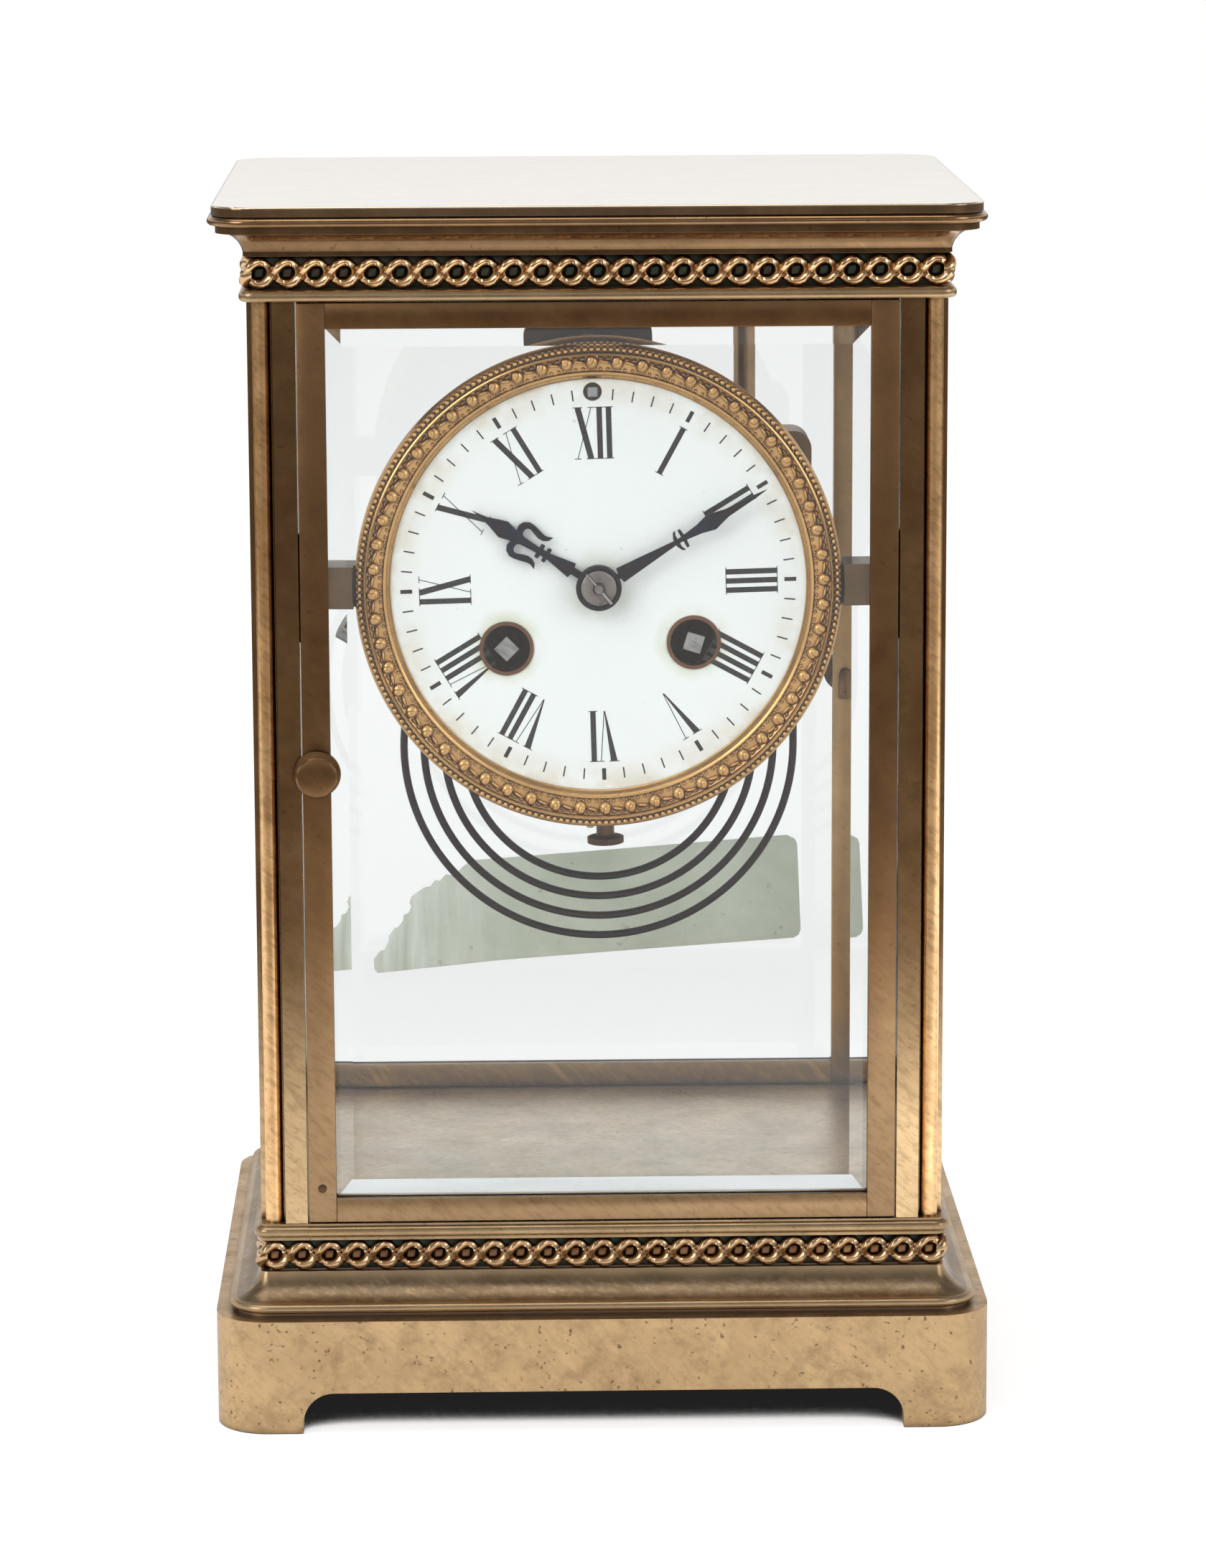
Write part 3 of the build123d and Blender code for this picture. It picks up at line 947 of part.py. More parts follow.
# Suspension cock, which carries the pallet arbor's rear pivot, the pendulum and the regulator
cock_back = BACK_PLATE_BACK + COCK_FOOT + COCK_THICKNESS
cock_middle = PALLET_V + (COCK_RISE - COCK_DROP) / 2
with BuildPart() as suspension_cock:
    with BuildSketch(movement(cock_back, 0, cock_middle)):
        RectangleRounded(COCK_WIDTH, COCK_RISE + COCK_DROP, 3.0)
    extrude(amount=COCK_THICKNESS)
    for side in (-1, 1):
        with BuildSketch(movement(cock_back - COCK_THICKNESS, side * (COCK_WIDTH / 2 - 2.5), PALLET_V - 1.0)):
            Circle(2.4)
        extrude(amount=COCK_FOOT)
    # block with the slot that grips the suspension spring
    with BuildSketch(movement(PENDULUM_Y + 3.0, 0, PALLET_V + 4.6)):
        Rectangle(9.0, 4.6)
    extrude(amount=PENDULUM_Y + 3.0 - cock_back)
    with BuildSketch(movement(PENDULUM_Y + 3.0, 0, PALLET_V + 3.0)):
        Rectangle(1.0, 4.0)
    extrude(amount=PENDULUM_Y + 3.0 - cock_back, mode=Mode.SUBTRACT)
    bore(cock_back - COCK_THICKNESS, cock_back, PIVOT_RADIUS + RUNNING_FIT, *PALLET_AT)
    bore(cock_back - COCK_THICKNESS, cock_back - 1.0, REGULATOR_RADIUS + RUNNING_FIT, 0, REGULATOR_V)
finish(suspension_cock, "suspension_cock")

# Regulator arbor, from the hole above twelve back to the cock
with BuildPart() as regulator_arbor:
    rod(DIAL_FRONT - 0.6, cock_back - 1.2, REGULATOR_RADIUS, 0, REGULATOR_V)
    with BuildSketch(movement(DIAL_FRONT + 1.4, 0, REGULATOR_V)):
        Circle(REGULATOR_RADIUS)
        Rectangle(2.0, 2.0, mode=Mode.SUBTRACT)
    extrude(amount=2.0, mode=Mode.SUBTRACT)
finish(regulator_arbor, "regulator_arbor")


# Winding arbors, barrels, mainsprings and clicks

def winding_arbor(place, name, square_turn):
    """Arbor with its winding square, ratchet wheel and pivots."""
    with BuildPart() as piece:
        rod(DIAL_PLATE_BACK + 1.0, BARREL_BACK + 1.0, WINDING_ARBOR_RADIUS, *place)
        rod(BARREL_BACK + 1.0, BACK_PLATE_BACK - 0.2, WINDING_PIVOT_RADIUS, *place)
        with BuildSketch(movement(DIAL_PLATE_BACK + 1.0, *place, turn=square_turn - MOVEMENT_TILT)):
            Rectangle(WINDING_SQUARE, WINDING_SQUARE)
        extrude(amount=DIAL_PLATE_BACK + 1.0 - DIAL_FRONT + 0.9)
        with BuildSketch(movement(FRONT_PLATE_FRONT - 0.4, *place)):
            with BuildLine():
                Polyline(*tooth_points(RATCHET_TEETH, RATCHET_RADIUS, RATCHET_RADIUS - 0.9, 0.1, 0.8, 0),
                         close=True)
            make_face()
        extrude(amount=RATCHET_THICKNESS)
    finish(piece, name)


def barrel(place, name, tooth_turn):
    """Spring barrel with the great wheel on its rear end; hollow for the mainspring."""
    with BuildPart() as piece:
        rod(BARREL_FRONT, BARREL_BACK, BARREL_RADIUS, *place)
        with BuildSketch(movement(BARREL_BACK, *place)):
            toothed_shape(GREAT_TEETH, GREAT_MODULE, tooth_turn)
        extrude(amount=GREAT_WHEEL_THICKNESS)
        bore(BARREL_FRONT + BARREL_WALL, BARREL_BACK - GREAT_WHEEL_THICKNESS, BARREL_RADIUS - BARREL_WALL, *place)
        bore(BARREL_FRONT, BARREL_BACK, WINDING_ARBOR_RADIUS + RUNNING_FIT, *place)
    finish(piece, name)


def mainspring(place, name):
    """Coiled strip inside a barrel, hooked on the barrel's wall."""
    outer = BARREL_RADIUS - BARREL_WALL
    pitch = (outer - SPRING_STRIP - SPRING_INNER) / SPRING_TURNS
    steps = 14
    inside = []
    outside = []
    for index in range(SPRING_TURNS * steps + 1):
        angle = 2 * pi * index / steps
        radius = SPRING_INNER + pitch * index / steps
        inside.append((radius * cos(angle), radius * sin(angle)))
        outside.append(((radius + SPRING_STRIP) * cos(angle), (radius + SPRING_STRIP) * sin(angle)))
    with BuildPart() as piece:
        with BuildSketch(movement(BARREL_BACK - GREAT_WHEEL_THICKNESS - 0.3, *place)):
            with BuildLine():
                Polyline(*inside, *reversed(outside), close=True)
            make_face()
        extrude(amount=BARREL_DEPTH - BARREL_WALL - GREAT_WHEEL_THICKNESS - 0.6)
    finish(piece, name)


winding_arbor(GOING_AT, "going_arbor", SQUARE_TURNS["going"])
winding_arbor(STRIKE_AT, "strike_arbor", SQUARE_TURNS["strike"])
barrel(GOING_AT, "going_barrel", bearing(GOING_AT, SECOND_AT))
barrel(STRIKE_AT, "strike_barrel", bearing(STRIKE_AT, STRIKE_SECOND_AT))
mainspring(GOING_AT, "going_mainspring")
mainspring(STRIKE_AT, "strike_mainspring")

# Clicks on the front plate, beside the ratchet wheels
with BuildPart() as clicks:
    for side in (-1, 1):
        pivot = (side * (WINDING_X + 3.0), WINDING_V - RATCHET_RADIUS - 4.2)
        with BuildSketch(movement(FRONT_PLATE_FRONT, *pivot)):
            Circle(2.2)
            with BuildLine():
                Polyline((-side * 1.0, 1.9), (-side * 7.5, 5.6), (-side * 8.1, 4.9), (-side * 1.2, -1.8), close=True)
            make_face()
        extrude(amount=RATCHET_THICKNESS + 0.4)
finish(clicks, "clicks")


# Wheels of the going train and the strike train

def taper_pin(mode=Mode.ADD):
    """The pin through the centre arbor's tip, in front of the hands' collet."""
    direction = radians(TAPER_PIN_TURN)
    along = Vector(cos(direction), 0, sin(direction))
    middle = Vector(0, TAPER_PIN_Y, DIAL_Z)
    ends = []
    for share, radius in ((-0.5, 0.32), (0.5, 0.45)):
        with BuildSketch(Plane(origin=middle + along * share * TAPER_PIN_LENGTH, z_dir=along)) as end:
            Circle(radius)
        ends.append(end.sketch.face())
    loft(ends, mode=mode)


def opposite_gap(first, second, teeth):
    """Angle of a tooth on the second wheel that leaves a gap facing the first."""
    return bearing(second, first) + 180.0 / teeth


with BuildPart() as second_wheel:
    wheel_on_arbor(*SECOND_AT, (SECOND_TEETH, SECOND_MODULE, bearing(SECOND_AT, CENTRE_AT)),
                   (GREAT_PINION, GREAT_MODULE, opposite_gap(GOING_AT, SECOND_AT, GREAT_PINION)),
                   SECOND_WHEEL_Y, GREAT_WHEEL_Y - 0.4)
finish(second_wheel, "second_wheel")

with BuildPart() as centre_wheel:
    arbor(0, 0, 1.0)
    rod(FRONT_PLATE_FRONT - 0.4, FRONT_PLATE_BACK + 0.4, 1.2, 0, 0)
    rod(BACK_PLATE_FRONT - 0.4, BACK_PLATE_BACK - 0.2, ARBOR_RADIUS, 0, 0)
    rod(TAPER_PIN_Y - 0.95, FRONT_PLATE_FRONT, CENTRE_TIP_RADIUS, 0, 0)
    taper_pin(Mode.SUBTRACT)
    with BuildSketch(movement(CENTRE_WHEEL_Y + WHEEL_THICKNESS)):
        crossed_wheel(CENTRE_TEETH, CENTRE_MODULE, bearing(CENTRE_AT, THIRD_AT), 3.0, 5)
    extrude(amount=WHEEL_THICKNESS)
    with BuildSketch(movement(SECOND_WHEEL_Y + WHEEL_THICKNESS + 0.4)):
        toothed_shape(CENTRE_PINION, SECOND_MODULE, opposite_gap(SECOND_AT, CENTRE_AT, CENTRE_PINION))
    extrude(amount=WHEEL_THICKNESS + 0.8)
finish(centre_wheel, "centre_wheel")

with BuildPart() as third_wheel:
    wheel_on_arbor(*THIRD_AT, (THIRD_TEETH, THIRD_MODULE, bearing(THIRD_AT, ESCAPE_AT)),
                   (THIRD_PINION, CENTRE_MODULE, opposite_gap(CENTRE_AT, THIRD_AT, THIRD_PINION)),
                   THIRD_WHEEL_Y, CENTRE_WHEEL_Y - 0.7)
finish(third_wheel, "third_wheel")

with BuildPart() as escape_wheel:
    arbor(*ESCAPE_AT)
    with BuildSketch(movement(ESCAPE_WHEEL_Y + 1.0, *ESCAPE_AT)):
        with BuildLine():
            Polyline(*tooth_points(ESCAPE_TEETH, ESCAPE_RADIUS, ESCAPE_RADIUS - 1.6, 0.12, 0.5, 0), close=True)
        make_face()
        Circle(ESCAPE_RADIUS - 2.6, mode=Mode.SUBTRACT)
        Circle(2.0)
        with PolarLocations(ESCAPE_RADIUS / 2 - 0.8, 4):
            Rectangle(ESCAPE_RADIUS - 2.2, 1.0)
    extrude(amount=1.0)
    with BuildSketch(movement(THIRD_WHEEL_Y + 1.9, *ESCAPE_AT)):
        toothed_shape(ESCAPE_PINION, THIRD_MODULE, opposite_gap(THIRD_AT, ESCAPE_AT, ESCAPE_PINION))
    extrude(amount=PINION_LENGTH)
finish(escape_wheel, "escape_wheel")

with BuildPart() as strike_wheel:
    wheel_on_arbor(*STRIKE_SECOND_AT, (SECOND_TEETH, STRIKE_MODULE, bearing(STRIKE_SECOND_AT, PIN_AT)),
                   (GREAT_PINION, GREAT_MODULE, opposite_gap(STRIKE_AT, STRIKE_SECOND_AT, GREAT_PINION)),
                   STRIKE_SECOND_Y, GREAT_WHEEL_Y - 0.4)
finish(strike_wheel, "strike_wheel")

with BuildPart() as pin_wheel:
    wheel_on_arbor(*PIN_AT, (PIN_WHEEL_TEETH, PIN_WHEEL_MODULE, bearing(PIN_AT, FLY_AT)),
                   (STRIKE_PINION, STRIKE_MODULE, opposite_gap(STRIKE_SECOND_AT, PIN_AT, STRIKE_PINION)),
                   PIN_WHEEL_Y, STRIKE_SECOND_Y - 0.7)
    # lifting pins
    with BuildSketch(movement(PIN_WHEEL_Y, *PIN_AT)):
        with PolarLocations(PIN_WHEEL_TEETH * PIN_WHEEL_MODULE / 2 - 1.1, 10):
            Circle(0.35)
    extrude(amount=2.0)
finish(pin_wheel, "pin_wheel")

with BuildPart() as fly:
    arbor(*FLY_AT)
    with BuildSketch(movement(PIN_WHEEL_Y + 1.9, *FLY_AT)):
        toothed_shape(FLY_PINION, PIN_WHEEL_MODULE, opposite_gap(PIN_AT, FLY_AT, FLY_PINION))
    extrude(amount=PINION_LENGTH)
    with BuildSketch(movement(FRONT_PLATE_BACK + 10.0, *FLY_AT)):
        Rectangle(9.6, 0.5)
        Circle(1.3)
    extrude(amount=8.0)
finish(fly, "fly")

# Pallets, their arbor and the crutch behind the back plate
with BuildPart() as pallets:
    rod(FRONT_PLATE_BACK + 0.2, BACK_PLATE_BACK + COCK_FOOT - 0.3, ARBOR_RADIUS, *PALLET_AT)
    rod(FRONT_PLATE_FRONT + 0.2, cock_back - 0.3, PIVOT_RADIUS, *PALLET_AT)
    reach = PALLET_V - ESCAPE_AT[1]
    with BuildSketch(movement(ESCAPE_WHEEL_Y + 1.0, *PALLET_AT)):
        Circle(2.2)
        for side in (-1, 1):
            with BuildLine():
                Polyline((0, 1.2), (side * 7.8, -3.2), (side * 8.8, -6.1), (side * 8.0, -6.5),
                         (side * 6.6, -4.1), (0, -1.4), close=True)
            make_face()
    extrude(amount=1.0)
    # crutch: a flat arm with a fork that turns back round the rod
    crutch_y = BACK_PLATE_BACK + 1.6
    with BuildSketch(upright(crutch_y + 1.0, PALLET_X, PALLET_Z)):
        Circle(2.0)
        with Locations((0, -CRUTCH_LENGTH / 2)):
            Rectangle(1.6, CRUTCH_LENGTH)
        with Locations((0, -CRUTCH_LENGTH)):
            Rectangle(5.2, 2.0)
    extrude(amount=1.0)
    with BuildSketch(upright(PENDULUM_Y + 2.0, PALLET_X, PALLET_Z - CRUTCH_LENGTH)):
        with GridLocations(3.8, 1, 2, 1):
            Rectangle(1.4, 2.0)
    extrude(amount=PENDULUM_Y + 2.0 - crutch_y)
finish(pallets, "pallets")

# Pendulum: suspension spring, rod and lens-shaped bob, hanging plumb from the pallet arbor's axis
with BuildPart() as pendulum:
    with BuildSketch(upright(PENDULUM_Y + 2.0, PALLET_X, PALLET_Z)):
        with Locations((0, -0.8)):
            Rectangle(0.2, 8.0)
    extrude(amount=4.0)
    with BuildSketch(upright(PENDULUM_Y + 1.5, PALLET_X, PALLET_Z - 6.0)):
        Rectangle(3.4, 3.6)
    extrude(amount=3.0)
    rod_plane = Plane(origin=(PALLET_X, PENDULUM_Y, PALLET_Z - 7.0), x_dir=(0, 1, 0), z_dir=(0, 0, -1))
    with BuildSketch(rod_plane):
        Circle(PENDULUM_ROD_RADIUS)
    extrude(amount=PENDULUM_BOB_DROP - 7.0 + PENDULUM_BOB_RADIUS + 4.0)
    with BuildSketch(rod_plane.offset(PENDULUM_BOB_DROP - 7.0 + PENDULUM_BOB_RADIUS)):
        Circle(2.4)
    extrude(amount=2.0)
    bob_middle = (PALLET_X, PENDULUM_Y, PALLET_Z - PENDULUM_BOB_DROP)
    bob_half = PENDULUM_BOB_THICKNESS / 2
    with BuildSketch(Plane(origin=bob_middle, x_dir=(1, 0, 0), z_dir=(0, 0, 1))):
        with BuildLine():
            ThreePointArc((0, -bob_half), (PENDULUM_BOB_RADIUS * 0.6, -bob_half * 0.7),
                          (PENDULUM_BOB_RADIUS, -0.6))
            Line((PENDULUM_BOB_RADIUS, -0.6), (PENDULUM_BOB_RADIUS, 0.6))
            ThreePointArc((PENDULUM_BOB_RADIUS, 0.6), (PENDULUM_BOB_RADIUS * 0.6, bob_half * 0.7), (0, bob_half))
            Line((0, bob_half), (0, -bob_half))
        make_face()
    revolve(axis=Axis(bob_middle, (0, 1, 0)))
finish(pendulum, "pendulum")

# Motion work behind the dial
with BuildPart() as cannon_pinion:
    cannon_front = MINUTE_HAND_BACK - HAND_THICKNESS
    rod(cannon_front, FRONT_PLATE_FRONT - 0.8, CANNON_RADIUS, 0, 0)
    with BuildSketch(movement(FRONT_PLATE_FRONT - 0.8)):
        toothed_shape(CANNON_TEETH, CANNON_MODULE, 90)
    extrude(amount=1.4)
    bore(cannon_front, FRONT_PLATE_FRONT - 0.8, CANNON_BORE, 0, 0)
finish(cannon_pinion, "cannon_pinion")

minute_wheel_y = FRONT_PLATE_FRONT - 0.9
hour_wheel_back = FRONT_PLATE_FRONT - 2.9
with BuildPart() as minute_wheel:
    with BuildSketch(movement(minute_wheel_y, *MINUTE_WHEEL_AT)):
        crossed_wheel(MINUTE_WHEEL_TEETH, CANNON_MODULE, 90 + 180 / MINUTE_WHEEL_TEETH, 3.2, 4)
    extrude(amount=1.1)
    with BuildSketch(movement(minute_wheel_y, *MINUTE_WHEEL_AT)):
        toothed_shape(MINUTE_PINION, HOUR_MODULE, 90)
    extrude(amount=3.6)
    bore(minute_wheel_y - 3.6, minute_wheel_y, ARBOR_RADIUS + RUNNING_FIT, *MINUTE_WHEEL_AT)
finish(minute_wheel, "minute_wheel")

with BuildPart() as hour_wheel:
    with BuildSketch(movement(hour_wheel_back)):
        crossed_wheel(HOUR_WHEEL_TEETH, HOUR_MODULE, 90 + 180 / HOUR_WHEEL_TEETH, 3.6, 4)
    extrude(amount=1.2)
    rod(HOUR_HAND_BACK - HAND_THICKNESS, hour_wheel_back, HOUR_PIPE_RADIUS, 0, 0)
    bore(HOUR_HAND_BACK - HAND_THICKNESS, hour_wheel_back, HOUR_PIPE_BORE, 0, 0)
finish(hour_wheel, "hour_wheel")

# Hands, each drawn pointing along +Y of its own plane: a leaf at the tip, crossbars and a tapered bar

def hand_outline(right_side):
    """Face of a hand from the corners of its right side, mirrored to its left."""
    left_side = [(-x, y) for x, y in reversed(right_side) if x > 0]
    with BuildLine() as edge:
        Polyline(*right_side, *left_side, close=True)
    make_face(edge.edges())


with BuildPart() as hour_hand:
    with BuildSketch(movement(HOUR_HAND_BACK, 0, 0, -HOUR_HAND_ANGLE - MOVEMENT_TILT)):
        hand_outline([(0.8, 0), (0.8, 6.4), (1.7, 6.6), (0.7, 12.5), (2.1, 12.5), (2.1, 13.2), (0.7, 13.2),
                      (0.7, 14.1), (2.1, 14.1), (2.1, 14.9), (0.65, 14.9), (0.85, 18.4),
                      (1.25, HOUR_HAND_REACH - 10.4), (1.93, HOUR_HAND_REACH - 7.8),
                      (0.55, HOUR_HAND_REACH - 3.6), (0, HOUR_HAND_REACH)])
        # a curl at each side
        for side in (-1, 1):
            with BuildLine():
                Spline((side * 0.6, 20.1), (side * 3.1, 20.3), (side * 3.9, 18.6), (side * 3.0, 15.6),
                       (side * 3.5, 13.8))
                Line((side * 3.5, 13.8), (side * 2.6, 14.3))
                Spline((side * 2.6, 14.3), (side * 2.2, 16.0), (side * 3.0, 18.4), (side * 2.2, 19.5),
                       (side * 0.6, 19.0))
                Line((side * 0.6, 19.0), (side * 0.6, 20.1))
            make_face()
        Circle(4.6)
        Circle(HOUR_PIPE_RADIUS, mode=Mode.SUBTRACT)
    extrude(amount=HAND_THICKNESS)
finish(hour_hand, "hour_hand")

with BuildPart() as minute_hand:
    with BuildSketch(movement(MINUTE_HAND_BACK, 0, 0, -MINUTE_HAND_ANGLE - MOVEMENT_TILT)):
        hand_outline([(0.6, 0), (0.6, 5.0), (1.7, 5.2), (0.5, 18.6), (0.5, 20.3), (2.1, 20.3), (2.1, 20.9),
                      (0.6, 21.2), (1.05, MINUTE_HAND_REACH - 16.5), (1.85, MINUTE_HAND_REACH - 13.5),
                      (0.85, MINUTE_HAND_REACH - 9.8), (0.4, MINUTE_HAND_REACH - 3.2), (0, MINUTE_HAND_REACH)])
        with BuildLine():
            ThreePointArc((-2.2, 19.6), (0, 18.5), (2.2, 19.6))
            ThreePointArc((2.2, 19.6), (0, 19.3), (-2.2, 19.6))
        make_face()
        Circle(3.2)
        Circle(CANNON_RADIUS, mode=Mode.SUBTRACT)
    extrude(amount=HAND_THICKNESS)
finish(minute_hand, "minute_hand")

# Collet in front of the minute hand, held by a taper pin through the arbor
with BuildPart() as hand_collet:
    rod(collet_front, collet_front + COLLET_THICKNESS, COLLET_RADIUS, 0, 0)
    fillet(hand_collet.edges().group_by(Axis.Y)[0], radius=0.5)
    bore(collet_front, collet_front + COLLET_THICKNESS, CANNON_BORE, 0, 0)
    taper_pin()
finish(hand_collet, "hand_collet")

# Gong: a flat coil of tangent half turns, its outer end rising straight to the block
with BuildPart() as gong:
    with BuildLine(upright(GONG_Y)) as coil:
        reach = GONG_X + GONG_RADIUS
        Line((reach, GONG_BLOCK_TOP - GONG_BLOCK_HEIGHT), (reach, GONG_Z))
        way = -1
        for index in range(GONG_HALF_TURNS):
            radius = GONG_RADIUS - index * GONG_PITCH / 2
            JernArc(start=(reach, GONG_Z), tangent=(0, way), radius=radius, arc_size=-180)
            reach += 2 * way * radius
            way = -way
    with BuildSketch(Plane(origin=(GONG_X + GONG_RADIUS, GONG_Y, GONG_BLOCK_TOP - GONG_BLOCK_HEIGHT),
                           z_dir=(0, 0, -1))):
        Circle(GONG_WIRE_RADIUS)
    sweep(path=coil.wires()[0])
finish(gong, "gong")

# Gong stand: a post hung from the upper ledge, with the block that grips the coil's outer end
with BuildPart() as gong_stand:
    block_right = GONG_X + GONG_RADIUS + 3.6
    with BuildSketch(upright(GONG_Y + GONG_BLOCK_DEPTH / 2, block_right - GONG_BLOCK_WIDTH / 2,
                             GONG_BLOCK_TOP - GONG_BLOCK_HEIGHT / 2)):
        RectangleRounded(GONG_BLOCK_WIDTH, GONG_BLOCK_HEIGHT, GONG_BLOCK_CORNER)
    extrude(amount=GONG_BLOCK_DEPTH)
    with BuildSketch(Plane(origin=(GONG_POST_X, GONG_Y, PILLAR_TOP), z_dir=(0, 0, -1))):
        Circle(GONG_POST_RADIUS)
    extrude(amount=PILLAR_TOP - GONG_BLOCK_TOP + 2.0)
finish(gong_stand, "gong_stand")

# Hammer on its arbor, which runs back from the plates to the gong
tilt = radians(MOVEMENT_TILT)
hammer_x = HAMMER_AT[0] * cos(tilt) - HAMMER_AT[1] * sin(tilt)
hammer_z = DIAL_Z + HAMMER_AT[0] * sin(tilt) + HAMMER_AT[1] * cos(tilt)
head_reach = GONG_RADIUS + GONG_WIRE_RADIUS + HAMMER_GAP
head_x = GONG_X + head_reach * cos(radians(HAMMER_ANGLE))
head_z = GONG_Z + head_reach * sin(radians(HAMMER_ANGLE))
head_dir = (cos(radians(HAMMER_ANGLE)), 0, sin(radians(HAMMER_ANGLE)))
head_far_x = head_x + HAMMER_HEAD_LENGTH * 0.6 * head_dir[0]
head_far_z = head_z + HAMMER_HEAD_LENGTH * 0.6 * head_dir[2]
arm_length = ((head_far_x - hammer_x) ** 2 + (head_far_z - hammer_z) ** 2) ** 0.5
arm_dir = ((head_far_x - hammer_x) / arm_length, 0, (head_far_z - hammer_z) / arm_length)
with BuildPart() as hammer:
    rod(FRONT_PLATE_FRONT + 0.2, FRONT_PLATE_BACK + 1.0, PIVOT_RADIUS, *HAMMER_AT)
    rod(FRONT_PLATE_BACK + 0.2, GONG_Y + 2.0, ARBOR_RADIUS, *HAMMER_AT)
    with BuildSketch(Plane(origin=(head_x, GONG_Y, head_z), x_dir=(0, 1, 0), z_dir=head_dir)):
        Circle(HAMMER_HEAD_RADIUS)
    extrude(amount=HAMMER_HEAD_LENGTH)
    with BuildSketch(Plane(origin=(hammer_x, GONG_Y, hammer_z), x_dir=(0, 1, 0), z_dir=arm_dir)):
        Circle(0.9)
    extrude(amount=arm_length)
    with BuildSketch(movement(GONG_Y + 1.6, *HAMMER_AT)):
        Circle(2.0)
    extrude(amount=3.2)
    # tail beside the lifting pins
    with BuildSketch(movement(PIN_WHEEL_Y - 0.2, *HAMMER_AT, turn=bearing(HAMMER_AT, PIN_AT))):
        Circle(1.8)
        with Locations((1.9, 0)):
            Rectangle(3.8, 1.2)
    extrude(amount=1.6)
finish(hammer, "hammer")
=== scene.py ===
from math import cos, pi, radians, sin

import bpy
from mathutils import Matrix, Vector


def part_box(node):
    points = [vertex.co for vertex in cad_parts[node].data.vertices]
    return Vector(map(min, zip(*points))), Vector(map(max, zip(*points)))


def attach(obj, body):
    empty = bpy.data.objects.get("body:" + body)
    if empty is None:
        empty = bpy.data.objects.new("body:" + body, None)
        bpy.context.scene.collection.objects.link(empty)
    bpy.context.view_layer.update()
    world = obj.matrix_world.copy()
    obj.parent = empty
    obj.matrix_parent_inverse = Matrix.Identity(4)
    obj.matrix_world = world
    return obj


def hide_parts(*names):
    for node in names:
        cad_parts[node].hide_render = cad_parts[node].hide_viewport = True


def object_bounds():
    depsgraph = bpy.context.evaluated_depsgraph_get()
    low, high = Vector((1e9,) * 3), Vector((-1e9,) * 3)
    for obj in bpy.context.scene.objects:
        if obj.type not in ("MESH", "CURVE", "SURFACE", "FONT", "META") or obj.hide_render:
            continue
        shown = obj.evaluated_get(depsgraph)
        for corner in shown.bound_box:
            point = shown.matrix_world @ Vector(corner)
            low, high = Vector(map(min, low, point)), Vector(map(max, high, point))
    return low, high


# Looks of the four-glass clock. Metres, in the frame of the solids: +Z up, the front faces -Y.
MM = 0.001
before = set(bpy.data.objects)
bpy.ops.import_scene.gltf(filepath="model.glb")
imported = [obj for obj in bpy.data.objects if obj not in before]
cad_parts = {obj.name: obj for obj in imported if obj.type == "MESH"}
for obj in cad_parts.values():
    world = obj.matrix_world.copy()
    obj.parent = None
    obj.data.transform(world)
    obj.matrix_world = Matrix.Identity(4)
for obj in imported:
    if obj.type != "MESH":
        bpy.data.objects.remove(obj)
solid_low, solid_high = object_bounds()
bpy.ops.object.select_all(action="DESELECT")


def corners_of(node):
    """A solid's lowest and highest corners."""
    low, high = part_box(node)
    return Vector(low), Vector(high)


def corners_in_mm(node):
    """The same corners, in millimetres."""
    low, high = corners_of(node)
    return low / MM, high / MM


# Places read from the solids
DIAL_LOW, DIAL_HIGH = corners_of("dial")
PILLAR_LOW, PILLAR_HIGH = corners_of("front_pillars")
CASE_HALF_X = PILLAR_HIGH.x
CASE_HALF_Y = -PILLAR_LOW.y
CASE_FACE = -CASE_HALF_Y / MM
DIAL_CENTRE_Z = (DIAL_LOW.z + DIAL_HIGH.z) / 2
ENAMEL_RADIUS = (DIAL_HIGH.x - DIAL_LOW.x) / 2
ENAMEL_FACE = DIAL_LOW.y
SQUARE_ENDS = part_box("going_arbor")[0][1] + 0.6 * MM
HOLLOW_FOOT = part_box("base_moulding")[0][2] + 2.85 * MM
CORNICE_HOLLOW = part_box("cornice")[0][2] + 10.4 * MM
TOP_FACE = solid_high.z - 0.25 * MM

# Angles, in degrees
MOVEMENT_TILT = 1.5
HOUR_ANGLE = 301.6
MINUTE_ANGLE = 59.8
CHAIN_TWIST = -130.0
PIN_ANGLE = -40

# Counts
CHAIN_LINKS_FRONT = 25
CHAIN_LINKS_SIDE = 21
BEZEL_BEADS = 232
BEZEL_SHELLS = 56
SCREW_RIDGES = 40

# Places and sizes, in millimetres
CHAIN_WIRE = 1.3
CHAIN_LINK_LENGTH = 7.8
CHAIN_STRIP = -1.35
CHAIN_CREST = 1.2
EYE_SIZE = 2.1
EYE_DEPTH = 1.25
EYE_ROUNDING = 0.48
SIGHT_RADIUS = 43.75
BEAD_RADIUS = 0.68
WINDING_HOLE = (19.75, 12.8)  # across and below the centre
NUMERAL_FOOT = 26.9
NUMERAL_TOP = 37.7
NUMERAL_BAR = 1.15
HAIRLINE = 0.17
PAINT = 0.05
MINUTE_MARKS = (39.3, 41.6)
MINUTE_BAR = 0.3
HOUR_BAR = 0.85
HAND_STEP = 0.02
HAND_EDGE = 0.12
CURL_EDGE = 0.08
FLOOR_REFLECTION_TOP = 108  # height where the painted reflection of the white floor on pillars and doors has faded out
DARK_FOOT = 62
PILLAR_BEAD_INSET = 5.1
FLOOR_EDGE_INSET = 5
HOLLOW_RISE = 9.0
KNOB_HEIGHT = 141
TONGUE_DEPTH = 5.2
STILE_WIDTH = 5.9
TOP_RAIL_WIDTH = 5.4
